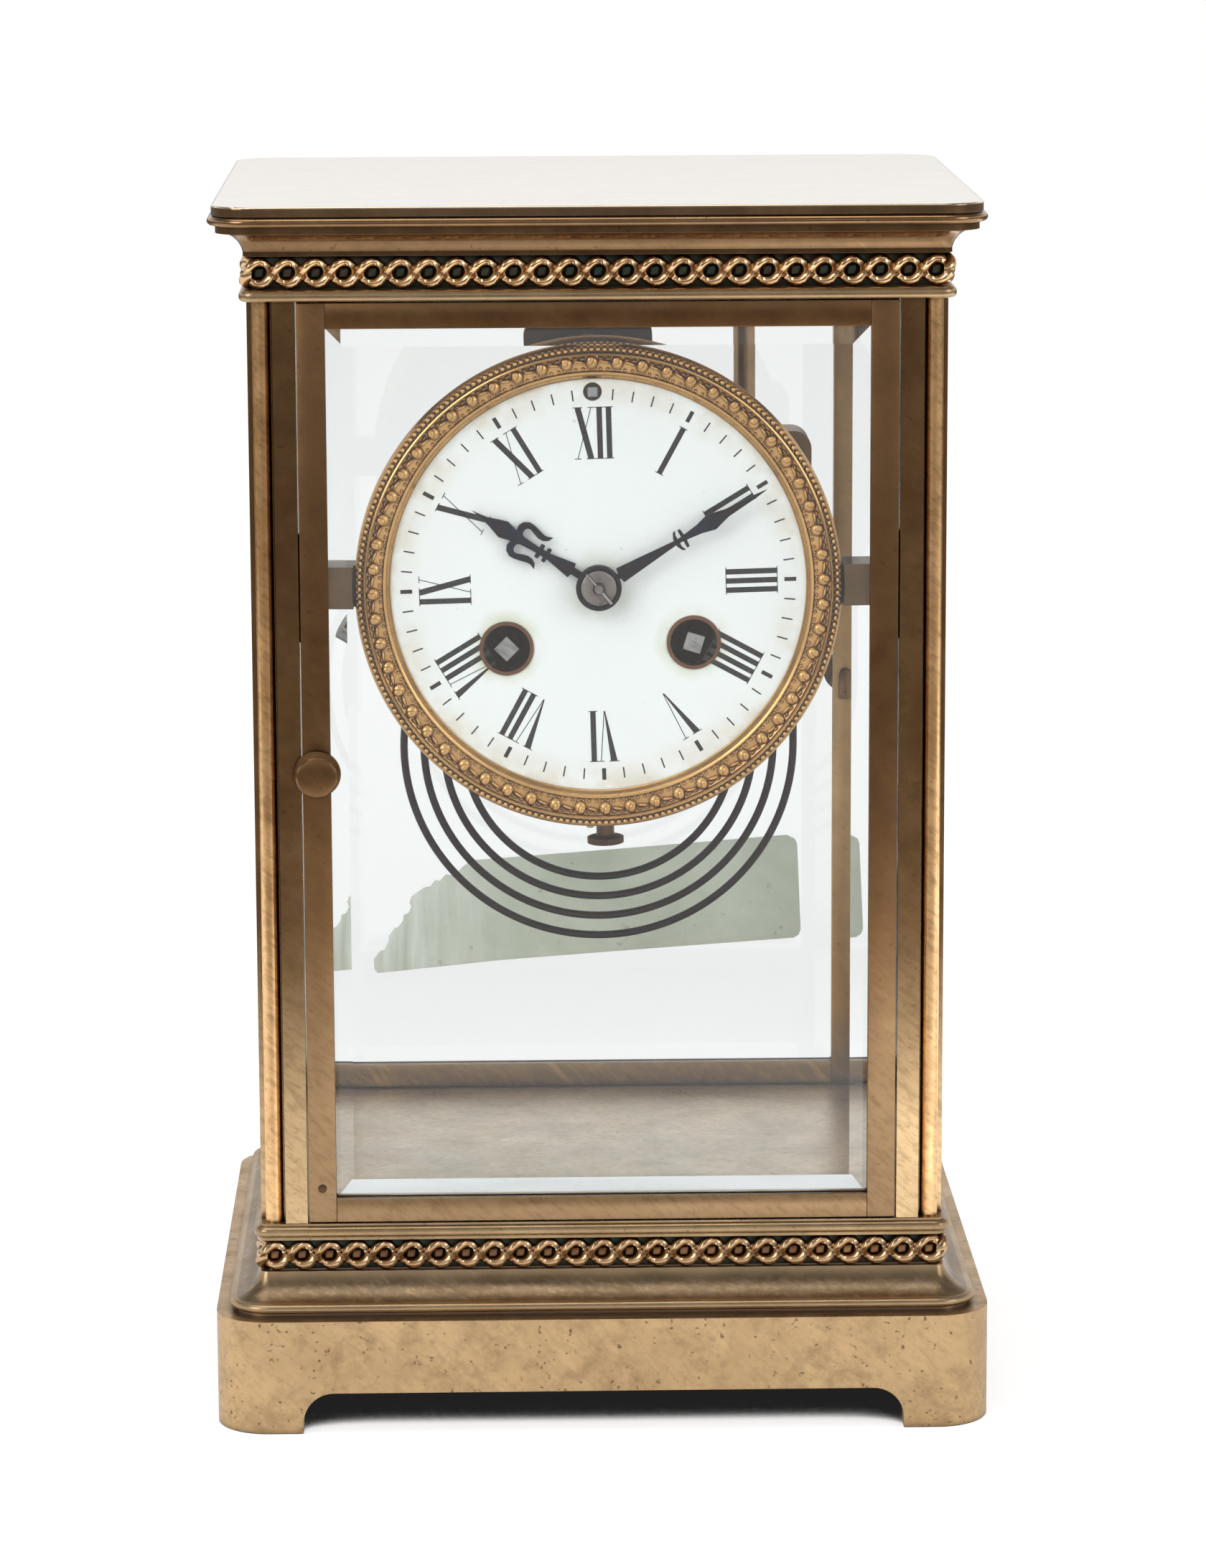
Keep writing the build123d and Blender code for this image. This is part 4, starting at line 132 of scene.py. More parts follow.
BOTTOM_RAIL_WIDTH = 5.2
GROOVE_DEPTH = 1.6
BAR_EDGE = 0.14
JOINT_GAP = 0.03
PLUG_PLACE = (2.9, 7.4)  # from the stile's edge and foot
BEVEL_INSET = 0.8
BEVEL_RISE = 3.1
BEVEL_MITRE = 2.4
LABEL_GAP = 0.05

# The photograph's viewpoint, fitted to points measured on it
CAMERA_PLACE = (-23.86, -1166.55, 351.80)
CAMERA_YAW = 1.265
CAMERA_PITCH = 10.934
CAMERA_ROLL = -0.244
FOCAL_PIXELS = 7472.04
PHOTO_HEIGHT = 2185
SENSOR_HEIGHT = 36

dial_place = Matrix.Translation((0, 0, DIAL_CENTRE_Z))
movement_place = dial_place @ Matrix.Rotation(-radians(MOVEMENT_TILT), 4, "Y")


# Modelling helpers

def mm(*values):
    """A vector given in millimetres."""
    return Vector(value * MM for value in values)


def only(piece):
    """Select one piece alone and make it the active one."""
    bpy.ops.object.select_all(action="DESELECT")
    piece.select_set(True)
    bpy.context.view_layer.objects.active = piece


def edit(piece):
    """Open a piece in edit mode with all of it selected."""
    only(piece)
    bpy.ops.object.mode_set(mode="EDIT")
    bpy.ops.mesh.select_mode(type="VERT")
    bpy.ops.mesh.select_all(action="SELECT")


def close(piece):
    """Weld the seams, turn the faces outwards and leave edit mode."""
    bpy.ops.mesh.select_all(action="SELECT")
    bpy.ops.mesh.remove_doubles(threshold=0.002 * MM)
    bpy.ops.mesh.normals_make_consistent(inside=False)
    bpy.ops.object.mode_set(mode="OBJECT")
    return piece


def settle(piece, place=None):
    """Put a piece at its place and bring its object back to the origin."""
    if place is not None:
        piece.matrix_world = place @ piece.matrix_world
    only(piece)
    bpy.ops.object.transform_apply(location=True, rotation=True, scale=True)
    return piece


def copies(model, places):
    """One copy of a model for each place, each with its own mesh; the model itself goes."""
    made = []
    for place in places:
        twin = model.copy()
        twin.data = model.data.copy()
        twin.matrix_world = place @ model.matrix_world
        bpy.context.collection.objects.link(twin)
        made.append(twin)
    bpy.data.objects.remove(model, do_unlink=True)
    return made


def around(count):
    """Turns that share out a full circle about the Y axis."""
    return [Matrix.Rotation(2 * pi * index / count, 4, "Y") for index in range(count)]


def join(pieces, name):
    """Join pieces into one, at the origin."""
    bpy.ops.object.select_all(action="DESELECT")
    for piece in pieces:
        piece.select_set(True)
    bpy.context.view_layer.objects.active = pieces[0]
    if len(pieces) > 1:
        bpy.ops.object.join()
    whole = bpy.context.view_layer.objects.active
    whole.name = name
    return settle(whole)


def smooth(piece, angle=35):
    only(piece)
    bpy.ops.object.shade_smooth_by_angle(angle=radians(angle))
    return piece


def rounded(piece, width, segments=2):
    """Round a piece's edges with a bevel and smooth its faces."""
    only(piece)
    edge = piece.modifiers.new("edge", "BEVEL")
    edge.width = width * MM
    edge.segments = segments
    edge.limit_method = "ANGLE"
    edge.angle_limit = radians(40)
    bpy.ops.object.modifier_apply(modifier=edge.name)
    return smooth(piece)


def pull(run):
    """Extrude what is selected along run."""
    bpy.ops.mesh.extrude_region_move(TRANSFORM_OT_translate={"value": run})


def turned(outline, steps=64, solid=True):
    """A lathe-turned piece about the Y axis; outline holds (radius, depth) in millimetres."""
    radius, depth = outline[0]
    bpy.ops.mesh.primitive_circle_add(vertices=steps, radius=radius * MM, rotation=(pi / 2, 0, 0),
                                      location=(0, depth * MM, 0))
    piece = bpy.context.object
    edit(piece)
    if solid:
        bpy.ops.mesh.edge_face_add()
        bpy.ops.mesh.select_all(action="SELECT")
    for (radius, depth), (next_radius, next_depth) in zip(outline, outline[1:]):
        pull((0, (next_depth - depth) * MM, 0))
        share = next_radius / radius
        bpy.ops.transform.resize(value=(share, 1, share),
                                 center_override=(0, next_depth * MM, 0))
    return close(piece)


def behind(start, outline):
    """An outline's points with their depths counted from start."""
    return [(radius, start + depth) for radius, depth in outline]


def prism(points, run, edge=0.0):
    """A flat outline, given corner by corner in millimetres, drawn out along run."""
    bpy.ops.mesh.primitive_plane_add(size=MM, location=mm(*points[0]))
    piece = bpy.context.object
    edit(piece)
    bpy.ops.mesh.merge(type="CENTER")
    for start, end in zip(points, points[1:]):
        pull(mm(*end) - mm(*start))
    bpy.ops.mesh.select_all(action="SELECT")
    bpy.ops.mesh.edge_face_add()
    bpy.ops.mesh.select_all(action="SELECT")
    pull(mm(*run))
    close(piece)
    settle(piece)
    if edge:
        rounded(piece, edge)
    return piece


def dress(piece, body, slot, finish, *nodes):
    """Give a finished piece its material, body and the solids that it stands for; slot is not
    used.
    """
    piece.data.materials.clear()
    piece.data.materials.append(finish)
    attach(piece, body)
    if nodes:
        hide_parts(*nodes)


# Finishes

class Nodes:
    """A node tree under way and short ways to add nodes to it."""

    def __init__(self, tree, coordinates):
        self.nodes = tree.nodes
        self.links = tree.links
        self.place = self.nodes.new("ShaderNodeTexCoord").outputs[coordinates]

    def feed(self, value, socket):
        """Put a number, a colour or another node's output into a socket."""
        if isinstance(value, bpy.types.NodeSocket):
            self.links.new(value, socket)
        else:
            socket.default_value = (*value, 1) if isinstance(value, tuple) else value

    def rays(self):
        """What kind of ray meets the surface."""
        return self.nodes.new("ShaderNodeLightPath").outputs

    def along(self, axis):
        """One axis of the coordinates."""
        split = self.nodes.new("ShaderNodeSeparateXYZ")
        self.feed(self.place, split.inputs[0])
        return split.outputs[axis]

    def ramp(self, source, *stops):
        """Map a value through (position, value or colour) stops."""
        ramp = self.nodes.new("ShaderNodeValToRGB")
        bar = ramp.color_ramp.elements
        while len(bar) < len(stops):
            bar.new(0.5)
        for step, (position, value) in zip(bar, stops):
            step.position = position
            step.color = (*value, 1) if isinstance(value, tuple) else (value, value, value, 1)
        self.feed(source, ramp.inputs["Fac"])
        return ramp.outputs["Color"]

    def mix(self, share, first, second):
        """Blend two colours; each may be a colour or another node's output."""
        mixer = self.nodes.new("ShaderNodeMix")
        mixer.data_type = "RGBA"
        self.feed(share, mixer.inputs[0])
        self.feed(first, mixer.inputs[6])
        self.feed(second, mixer.inputs[7])
        return mixer.outputs[2]

    def math(self, work, first, second=0.0):
        node = self.nodes.new("ShaderNodeMath")
        node.operation = work
        self.feed(first, node.inputs[0])
        self.feed(second, node.inputs[1])
        return node.outputs[0]

    def product(self, first, second):
        return self.math("MULTIPLY", first, second)


class Finish(Nodes):
    """A material under way: its tree and its Principled shader."""

    sockets = {"base": "Base Color", "metal": "Metallic", "rough": "Roughness", "ior": "IOR",
               "coat": "Coat Weight", "coat_rough": "Coat Roughness",
               "clear": "Transmission Weight", "gloss": "Specular IOR Level"}

    def __init__(self, name):
        self.material = bpy.data.materials.new(name)
        self.material.use_nodes = True
        super().__init__(self.material.node_tree, "Object")
        self.shader = self.nodes["Principled BSDF"]

    def mapped(self, kind="POINT", **settings):
        """Object coordinates through a Mapping node."""
        mapping = self.nodes.new("ShaderNodeMapping")
        mapping.vector_type = kind
        for name, value in settings.items():
            mapping.inputs[name].default_value = value
        self.feed(self.place, mapping.inputs["Vector"])
        return mapping.outputs["Vector"]

    def slanting(self, turn, drawn_out):
        """Object coordinates turned in the front's plane and drawn out along the slant."""
        return self.mapped("TEXTURE", Rotation=(0.3, radians(turn), 0.2), Scale=(drawn_out, 1, 1))

    def reach(self, vector):
        """How long a vector is."""
        node = self.nodes.new("ShaderNodeVectorMath")
        node.operation = "LENGTH"
        self.feed(vector, node.inputs[0])
        return node.outputs["Value"]

    def noise(self, scale, detail=4.0, rough=0.55, place=None):
        clouds = self.nodes.new("ShaderNodeTexNoise")
        clouds.inputs["Scale"].default_value = scale
        clouds.inputs["Detail"].default_value = detail
        clouds.inputs["Roughness"].default_value = rough
        self.feed(place or self.place, clouds.inputs["Vector"])
        return clouds.outputs["Fac"]

    def recess(self, reach, samples=6):
        """1 in the open, falling to 0 in corners and grooves."""
        shade = self.nodes.new("ShaderNodeAmbientOcclusion")
        shade.samples = samples
        shade.inputs["Distance"].default_value = reach * MM
        return shade.outputs["AO"]

    def soft_edges(self, radius, *heights):
        """Bump from (height, strength, depth in mm) over edges rounded by radius."""
        edge = self.nodes.new("ShaderNodeBevel")
        edge.samples = 4
        edge.inputs["Radius"].default_value = radius * MM
        normal = edge.outputs["Normal"]
        for height, strength, depth in heights:
            bump = self.nodes.new("ShaderNodeBump")
            bump.inputs["Strength"].default_value = strength
            bump.inputs["Distance"].default_value = depth * MM
            self.feed(height, bump.inputs["Height"])
            self.feed(normal, bump.inputs["Normal"])
            normal = bump.outputs["Normal"]
        self.feed(normal, self.shader.inputs["Normal"])

    def surface(self, kind, other):
        """Join the Principled shader to another through an Add or Mix shader."""
        both = self.nodes.new(kind)
        first, second = list(both.inputs)[-2:]
        self.feed(self.shader.outputs[0], first)
        self.feed(other.outputs[0], second)
        self.feed(both.outputs[0], self.nodes["Material Output"].inputs["Surface"])
        return both

    def set(self, **values):
        for key, value in values.items():
            self.feed(value, self.shader.inputs[self.sockets[key]])
        return self.material


def aged_brass(name, bright, dull, dirt_and_shade, rough=0.3, speckle=0.4, recess=2.5, lower=None,
               edge=0.18, field=None, grain=0.35, coat=None):
    """Old brass: clouds of two tones, grain, dark specks, and painted shade in corners and
    grooves.
    lower is (tone, height in mm) for a tone that takes over towards the foot; field is (mask,
    tone, tone) for one area; coat is the roughness of a clear coat."""
    brass = Finish(name)
    clouds = brass.ramp(brass.noise(55, 6, 0.68), (0.32, 0.0), (0.7, 1.0))
    tone = brass.mix(clouds, bright, dull)
    # the lower tone is a painted reflection of the white floor on pillars and doors, and a darker
    # grey foot on the rear door
    if lower:
        foot, height = lower
        fall = brass.ramp(brass.math("DIVIDE", brass.along("Z"), height * MM),
                          (0.62, 1.0), (1.0, 0.0))
        tone = brass.mix(fall, tone, foot)
    if field:
        mask, light, dark = field
        tone = brass.mix(mask(brass), tone, brass.mix(clouds, light, dark))
    fibres = brass.noise(900, 3, 0.6, brass.slanting(38, 3.5))
    tone = brass.mix(brass.ramp(fibres, (0.46, 0.0), (0.66, grain)), tone, dull)
    scratches = brass.noise(330, 2, 0.5, brass.slanting(52, 14))
    tone = brass.mix(brass.ramp(scratches, (0.64, 0.0), (0.72, grain)), tone, bright)
    mottle = brass.ramp(brass.noise(190, 5, 0.7), (0.48, 0.0), (0.75, 0.55))
    specks = brass.ramp(brass.noise(750, 2, 0.5), (0.66, 0.0), (0.73, 1.0))
    # painted shade: ambient occlusion darkens corners and grooves with the same dark tone as the
    # real dirt of the mottle and specks
    corners = brass.ramp(brass.recess(recess), (0.3, 1.0), (0.85, 0.0))
    for dirt_and_shade_mask, share in ((mottle, speckle), (specks, speckle), (corners, 0.85)):
        tone = brass.mix(brass.product(dirt_and_shade_mask, share), tone, dirt_and_shade)
    polish = brass.ramp(brass.noise(90, 4, 0.6), (0.3, rough - 0.06), (0.7, rough + 0.08))
    brass.soft_edges(edge, (fibres, 0.06, 0.03), (brass.noise(900, 3), 0.06, 0.03))
    if coat:
        brass.set(coat=1.0, coat_rough=coat)
    return brass.set(base=tone, metal=1.0, rough=polish)


def from_middle(brass, work, inset):
    """Compare a point's distance from the middle, both ways, with the case less an inset."""
    across = brass.math(work, brass.math("ABSOLUTE", brass.along("X")), CASE_HALF_X - inset * MM)
    deep = brass.math(work, brass.math("ABSOLUTE", brass.along("Y")), CASE_HALF_Y - inset * MM)
    return brass.product(across, deep)


def inside_case(brass):
    """1 on the floor inside the case, 0 on the plate's edge."""
    return from_middle(brass, "LESS_THAN", FLOOR_EDGE_INSET)


def bead_highlight_mask(brass):
    """1 on the bead of each pillar's corner, which takes a painted highlight."""
    return from_middle(brass, "GREATER_THAN", PILLAR_BEAD_INSET)


def hollow_foot_shade(brass):
    """1 on the foot of the base's hollow, fading to 0 above it and on the nose; a darker painted
    shade goes there.
    """
    rise = brass.math("SUBTRACT", brass.along("Z"), HOLLOW_FOOT)
    share = brass.math("DIVIDE", rise, HOLLOW_RISE * MM)
    return brass.ramp(share, (0.0, 0.0), (0.02, 1.0), (0.35, 1.0), (0.6, 0.0))


def cornice_hollow_shade(brass):
    """1 on the hollow at the foot of the cornice, which takes a darker painted shade."""
    return brass.math("LESS_THAN", brass.along("Z"), CORNICE_HOLLOW)


# 1 on the top face, which takes a paler brass than the plate's edges: a painted highlight for the
# white glare there
def top_face_glare(brass):
    return brass.math("GREATER_THAN", brass.along("Z"), TOP_FACE)


def unshaded_square_ends(steel):
    """1 on the winding squares' ends, 0 on what stands deep in the holes, which is painted
    near-black as shade.
    """
    return steel.math("LESS_THAN", steel.along("Y"), SQUARE_ENDS)


plinth_brass = aged_brass(
    "plinth_brass", (0.64, 0.44, 0.235), (0.48, 0.32, 0.17), (0.12, 0.075, 0.04), rough=0.36,
    speckle=0.8, grain=0.6)
# moulding brass: the field is a painted shade on the foot of the hollow
moulding_brass = aged_brass(
    "moulding_brass", (0.5, 0.355, 0.2), (0.4, 0.28, 0.155), (0.4, 0.3, 0.24), rough=0.33,
    grain=0.5, field=(hollow_foot_shade, (0.25, 0.175, 0.1), (0.2, 0.14, 0.08)))
floor_brass = aged_brass(
    "floor_brass", (0.5, 0.36, 0.2), (0.36, 0.24, 0.13), (0.09, 0.065, 0.05), rough=0.32,
    field=(inside_case, (0.7, 0.58, 0.44), (0.5, 0.43, 0.36)))
# pillar brass: the lower tone is a painted reflection of the white floor, and the field is a
# painted highlight on the corner beads
pillar_brass = aged_brass(
    "pillar_brass", (0.3, 0.18, 0.085), (0.22, 0.125, 0.06), (0.04, 0.022, 0.012), rough=0.26,
    lower=((0.69, 0.485, 0.265), FLOOR_REFLECTION_TOP), speckle=0.25, recess=1.2,
    field=(bead_highlight_mask, (0.97, 0.63, 0.31), (0.82, 0.5, 0.24)))
# door brass: the lower tone is a painted reflection of the white floor
door_brass = aged_brass(
    "door_brass", (0.25, 0.14, 0.064), (0.19, 0.102, 0.048), (0.04, 0.022, 0.012), rough=0.32,
    speckle=0.2, lower=((0.38, 0.245, 0.13), FLOOR_REFLECTION_TOP))
# a brighter copy of the door brass for the rear frame: painted light, as that frame gets little
# light inside the glass; darker grey towards its foot
brightened_rear_brass = aged_brass(
    "brightened_rear_brass", (0.6, 0.39, 0.18), (0.48, 0.3, 0.14), (0.07, 0.045, 0.025), rough=0.36,
    speckle=0.25, lower=((0.085, 0.08, 0.08), DARK_FOOT))
# cornice brass: the field is a painted shade in its hollow
cornice_brass = aged_brass(
    "cornice_brass", (0.36, 0.22, 0.11), (0.27, 0.16, 0.08), (0.05, 0.032, 0.02), rough=0.21,
    recess=1.5, field=(cornice_hollow_shade, (0.26, 0.155, 0.08), (0.2, 0.12, 0.06)))
# top brass: the paler field on the top face is a painted highlight of the glare, along with the
# clear coat
top_brass = aged_brass(
    "top_brass", (0.5, 0.33, 0.18), (0.36, 0.22, 0.12), (0.2, 0.1, 0.05), rough=0.17,
    speckle=0.22, field=(top_face_glare, (0.8, 0.66, 0.46), (0.75, 0.6, 0.4)), grain=0.08, coat=0.16)
# the upper chain's brass is a brighter copy of the lower chain's: painted light where the upper
# chain reflects a dim room
brightened_chain_brass = aged_brass(
    "brightened_chain_brass", (0.86, 0.59, 0.33), (0.56, 0.36, 0.2), (0.22, 0.13, 0.07), rough=0.2,
    speckle=0.12, recess=0.7, edge=0.05)
dull_chain_brass = aged_brass(
    "dull_chain_brass", (0.66, 0.45, 0.26), (0.46, 0.3, 0.17), (0.14, 0.085, 0.05), rough=0.2,
    speckle=0.12, recess=0.7, edge=0.05)
eye_brass = aged_brass(
    "eye_brass", (0.3, 0.16, 0.08), (0.12, 0.06, 0.03), (0.02, 0.015, 0.01), rough=0.35,
    speckle=0.4, recess=1.2, edge=0.05)
movement_brass = aged_brass(
    "movement_brass", (0.36, 0.23, 0.12), (0.24, 0.15, 0.08), (0.05, 0.035, 0.025), rough=0.34)
ring_brass = aged_brass(
    "ring_brass", (0.2, 0.17, 0.15), (0.13, 0.1, 0.085), (0.04, 0.03, 0.025), rough=0.3)
wheel_brass = aged_brass(
    "wheel_brass", (0.55, 0.4, 0.2), (0.4, 0.28, 0.14), (0.08, 0.05, 0.03), rough=0.3, edge=0.05)
gilt = aged_brass(
    "gilt", (0.67, 0.4, 0.155), (0.53, 0.3, 0.112), (0.1, 0.045, 0.018), rough=0.25, speckle=0.12,
    recess=1.1, edge=0.05, grain=0.1)
strap_brass = aged_brass(
    "strap_brass", (0.17, 0.11, 0.06), (0.12, 0.075, 0.04), (0.03, 0.02, 0.015), rough=0.34)
copper = aged_brass(
    "copper", (0.22, 0.11, 0.065), (0.14, 0.07, 0.04), (0.03, 0.02, 0.015), rough=0.3,
    speckle=0.2, edge=0.05)
dark_brass = aged_brass(
    "dark_brass", (0.14, 0.085, 0.05), (0.08, 0.048, 0.028), (0.02, 0.012, 0.008), rough=0.36)
verdigris = aged_brass(
    "verdigris", (0.12, 0.085, 0.055), (0.05, 0.1, 0.08), (0.014, 0.018, 0.016), rough=0.6,
    recess=1.5, edge=0.05)
polished_steel = aged_brass(
    "polished_steel", (0.42, 0.42, 0.41), (0.28, 0.28, 0.28), (0.07, 0.06, 0.05), rough=0.28,
    edge=0.08)
# the arbors are painted near-black as shade deep in the winding holes; only the squares' ends
# show the steel's own grey
arbor_steel_in_shade = aged_brass(
    "arbor_steel_in_shade", (0.03, 0.018, 0.012), (0.014, 0.009, 0.007), (0.008, 0.006, 0.005), rough=0.55,
    edge=0.08, field=(unshaded_square_ends, (0.5, 0.49, 0.48), (0.36, 0.35, 0.34)))
gong_steel = aged_brass(
    "gong_steel", (0.045, 0.036, 0.037), (0.025, 0.022, 0.026), (0.015, 0.01, 0.01), rough=0.34,
    edge=0.05)
spring_steel = aged_brass(
    "spring_steel", (0.1, 0.12, 0.18), (0.05, 0.06, 0.09), (0.02, 0.02, 0.02), rough=0.25,
    edge=0.05)
collet_steel = aged_brass(
    "collet_steel", (0.3, 0.27, 0.25), (0.15, 0.12, 0.11), (0.03, 0.02, 0.018), rough=0.33,
    speckle=0.6, edge=0.08, grain=0.7)


def blued_steel():
    """Nearly black hand steel with traces of blue along its polish."""
    steel = Finish("blued_steel")
    clouds = steel.ramp(steel.noise(150, 4), (0.4, 0.0), (0.62, 1.0))
    tone = steel.mix(clouds, (0.021, 0.013, 0.013), (0.012, 0.017, 0.032))
    wear = steel.ramp(steel.noise(700, 3), (0.6, 0.0), (0.75, 0.5))
    tone = steel.mix(wear, tone, (0.06, 0.045, 0.04))
    steel.soft_edges(0.1, (steel.noise(900, 3), 0.1, 0.03))
    return steel.set(base=tone, metal=0.85, rough=steel.ramp(clouds, (0, 0.3), (1, 0.45)))


def enamel():
    """White enamel, stained round its holes and a little yellow at its rim."""
    white = Finish("white_enamel")
    ragged = white.noise(110, 5, 0.6)

    def from_point(across, up):
        """Distance on the dial's face from a point given from the dial's centre."""
        centre = (-across * MM, 0, -DIAL_CENTRE_Z - up * MM)
        return white.reach(white.mapped(Location=centre, Scale=(1, 0, 1)))

    radius = white.math("DIVIDE", from_point(0, 0), ENAMEL_RADIUS)
    clouds = white.ramp(white.noise(24, 3), (0.4, 0.0), (0.7, 0.5))
    tone = white.mix(clouds, (0.95, 0.975, 0.965), (0.92, 0.95, 0.95))
    rim = white.product(white.ramp(radius, (0.82, 0.0), (0.98, 1.0)),
                        white.ramp(ragged, (0.42, 0.05), (0.62, 0.7)))
    tone = white.mix(rim, tone, (0.72, 0.62, 0.44))
    middle = white.product(white.ramp(radius, (0.09, 1.0), (0.19, 0.0)),
                           white.ramp(ragged, (0.4, 0.05), (0.6, 0.6)))
    tone = white.mix(middle, tone, (0.66, 0.66, 0.46))
    tilt = radians(MOVEMENT_TILT)
    for side in (-1, 1):
        across, drop = side * WINDING_HOLE[0], WINDING_HOLE[1]
        hole = from_point(across * cos(tilt) + drop * sin(tilt),
                          across * sin(tilt) - drop * cos(tilt))
        near = white.ramp(white.math("DIVIDE", hole, 12 * MM), (0.48, 1.0), (0.72, 0.0))
        stain = white.product(near, white.ramp(ragged, (0.38, 0.1), (0.6, 0.65)))
        tone = white.mix(stain, tone, (0.6, 0.62, 0.36))
    dust = white.ramp(white.noise(480, 2), (0.72, 0.0), (0.8, 0.3))
    tone = white.mix(dust, tone, (0.35, 0.33, 0.3))
    white.soft_edges(0.15, (white.noise(60, 2), 0.05, 0.1))
    return white.set(base=tone, rough=white.ramp(ragged, (0.3, 0.14), (0.7, 0.26)),
                     coat=0.5, coat_rough=0.06)


def dial_paint():
    """Black paint of the numerals, a little worn."""
    black = Finish("numeral_paint")
    worn = black.ramp(black.noise(800, 4), (0.62, 0.0), (0.72, 0.5))
    tone = black.mix(worn, (0.012, 0.01, 0.01), (0.12, 0.11, 0.1))
    black.soft_edges(0.02, (black.noise(900, 2), 0.1, 0.01))
    return black.set(base=tone, rough=black.ramp(worn, (0, 0.35), (1, 0.55)))


def pane():
    """Clear old glass that lets the lamps through."""
    glass = Finish("old_glass")
    smears = glass.ramp(glass.noise(35, 3, 0.6), (0.45, 0.0), (0.75, 0.03))
    glass.soft_edges(0.04, (glass.noise(14, 2), 0.02, 0.2))
    glass.set(base=(0.925, 0.94, 0.938), clear=1.0, ior=1.5, rough=smears)
    through = glass.nodes.new("ShaderNodeBsdfTransparent")
    through.inputs["Color"].default_value = (0.96, 0.975, 0.97, 1)
    blend = glass.surface("ShaderNodeMixShader", through)
    glass.feed(glass.rays()["Is Shadow Ray"], blend.inputs[0])
    return glass.material


def pale_bevel_finish():
    """The glass's bevel, painted pale: a painted highlight for the light that it gathers."""
    pale_edge = Finish("pale_bevel_glass")
    glint_patches = pale_edge.noise(60, 4, 0.6, pale_edge.mapped(Scale=(0.3, 1, 4)))
    glint_patches = pale_edge.ramp(glint_patches, (0.35, 0.0), (0.7, 1.0))
    tone = pale_edge.mix(glint_patches, (0.8, 0.84, 0.85), (0.68, 0.71, 0.71))
    pale_edge.soft_edges(0.05, (glint_patches, 0.05, 0.03))
    return pale_edge.set(base=tone, clear=0.12, ior=1.5,
                      rough=pale_edge.ramp(glint_patches, (0, 0.18), (1, 0.32)))


def old_paper():
    """Soft stained paper seen through glass."""
    sheet = Finish("old_paper")
    stains = sheet.ramp(sheet.noise(60, 5, 0.65), (0.35, 0.0), (0.65, 1.0))
    tone = sheet.mix(stains, (0.72, 0.78, 0.67), (0.6, 0.66, 0.55))
    across = sheet.math("ADD", sheet.product(sheet.along("X"), 9.0), 0.5)
    across = sheet.ramp(across, (0.12, 1.0), (0.34, 0.0))
    streaks = sheet.noise(240, 3, 0.6, sheet.mapped(Scale=(1, 1, 0.12)))
    streaks = sheet.ramp(streaks, (0.35, 0.0), (0.65, 1.0))
    tone = sheet.mix(sheet.product(across, streaks), tone, (0.9, 0.95, 0.9))
    spots = sheet.ramp(sheet.noise(420, 4), (0.66, 0.0), (0.74, 0.5))
    tone = sheet.mix(spots, tone, (0.3, 0.32, 0.26))
    fibres = sheet.noise(700, 3, 0.6, sheet.mapped(Scale=(1, 1, 4)))
    sheet.soft_edges(0.02, (fibres, 0.3, 0.05))
    return sheet.set(base=tone, rough=sheet.ramp(stains, (0, 0.8), (1, 0.92)), gloss=0.2)


blued = blued_steel()
white_enamel = enamel()
numeral_paint = dial_paint()
old_glass = pane()
pale_bevel_glass = pale_bevel_finish()
paper = old_paper()


# Chain bands

def chain_link(height):
    """A torus drawn to the band's height, twisted, with its back cut flat to lie on the strip."""
    bpy.ops.mesh.primitive_torus_add(major_segments=24, minor_segments=8,
                                     minor_radius=CHAIN_WIRE * MM,
                                     major_radius=(CHAIN_LINK_LENGTH / 2 - CHAIN_WIRE) * MM,
                                     rotation=(pi / 2, 0, 0))
    link = settle(bpy.context.object)
    edit(link)
    bpy.ops.transform.resize(value=(1, 1, (height - 0.1) / CHAIN_LINK_LENGTH),
                             center_override=(0, 0, 0))
    close(link)
    twist = link.modifiers.new("twist", "SIMPLE_DEFORM")
    twist.deform_method = "TWIST"
    twist.deform_axis = "X"
    twist.angle = radians(CHAIN_TWIST)
    bpy.ops.object.modifier_apply(modifier=twist.name)
    crest = max(vertex.co.y for vertex in link.data.vertices)
    edit(link)
    back = (CHAIN_CREST - CHAIN_STRIP + 0.1) * MM - crest
    bpy.ops.mesh.bisect(plane_co=(0, back, 0), plane_no=(0, 1, 0), use_fill=True,
                        clear_outer=True)
    close(link)
    smooth(link, 50)
    return link, crest


def chain_eye(crest):
    """The rounded boss that shows through a link."""
    bpy.ops.mesh.primitive_cube_add(size=1, scale=mm(EYE_SIZE, 1.0, EYE_SIZE),
                                    location=(0, -crest + (CHAIN_CREST + EYE_DEPTH) * MM, 0))
    return rounded(settle(bpy.context.object), EYE_ROUNDING, 3)


def chain_strip(low, high):
    """A thin rectangular strip round the case, rounded at its corners."""
    half_x = CASE_HALF_X + CHAIN_STRIP * MM
    half_y = CASE_HALF_Y + CHAIN_STRIP * MM
    bpy.ops.mesh.primitive_cube_add(size=2, location=(0, 0, (low + high) / 2),
                                    scale=(half_x, half_y, (high - low) / 2))
    strip = settle(bpy.context.object)
    edit(strip)
    bpy.ops.mesh.select_mode(type="FACE")
    bpy.ops.mesh.select_all(action="DESELECT")
    bpy.ops.object.mode_set(mode="OBJECT")
    for face in strip.data.polygons:
        face.select = abs(face.normal.z) > 0.5
    bpy.ops.object.mode_set(mode="EDIT")
    bpy.ops.mesh.inset(thickness=0.5 * MM)
    bpy.ops.mesh.bridge_edge_loops()
    close(strip)
    return rounded(strip, 0.3)


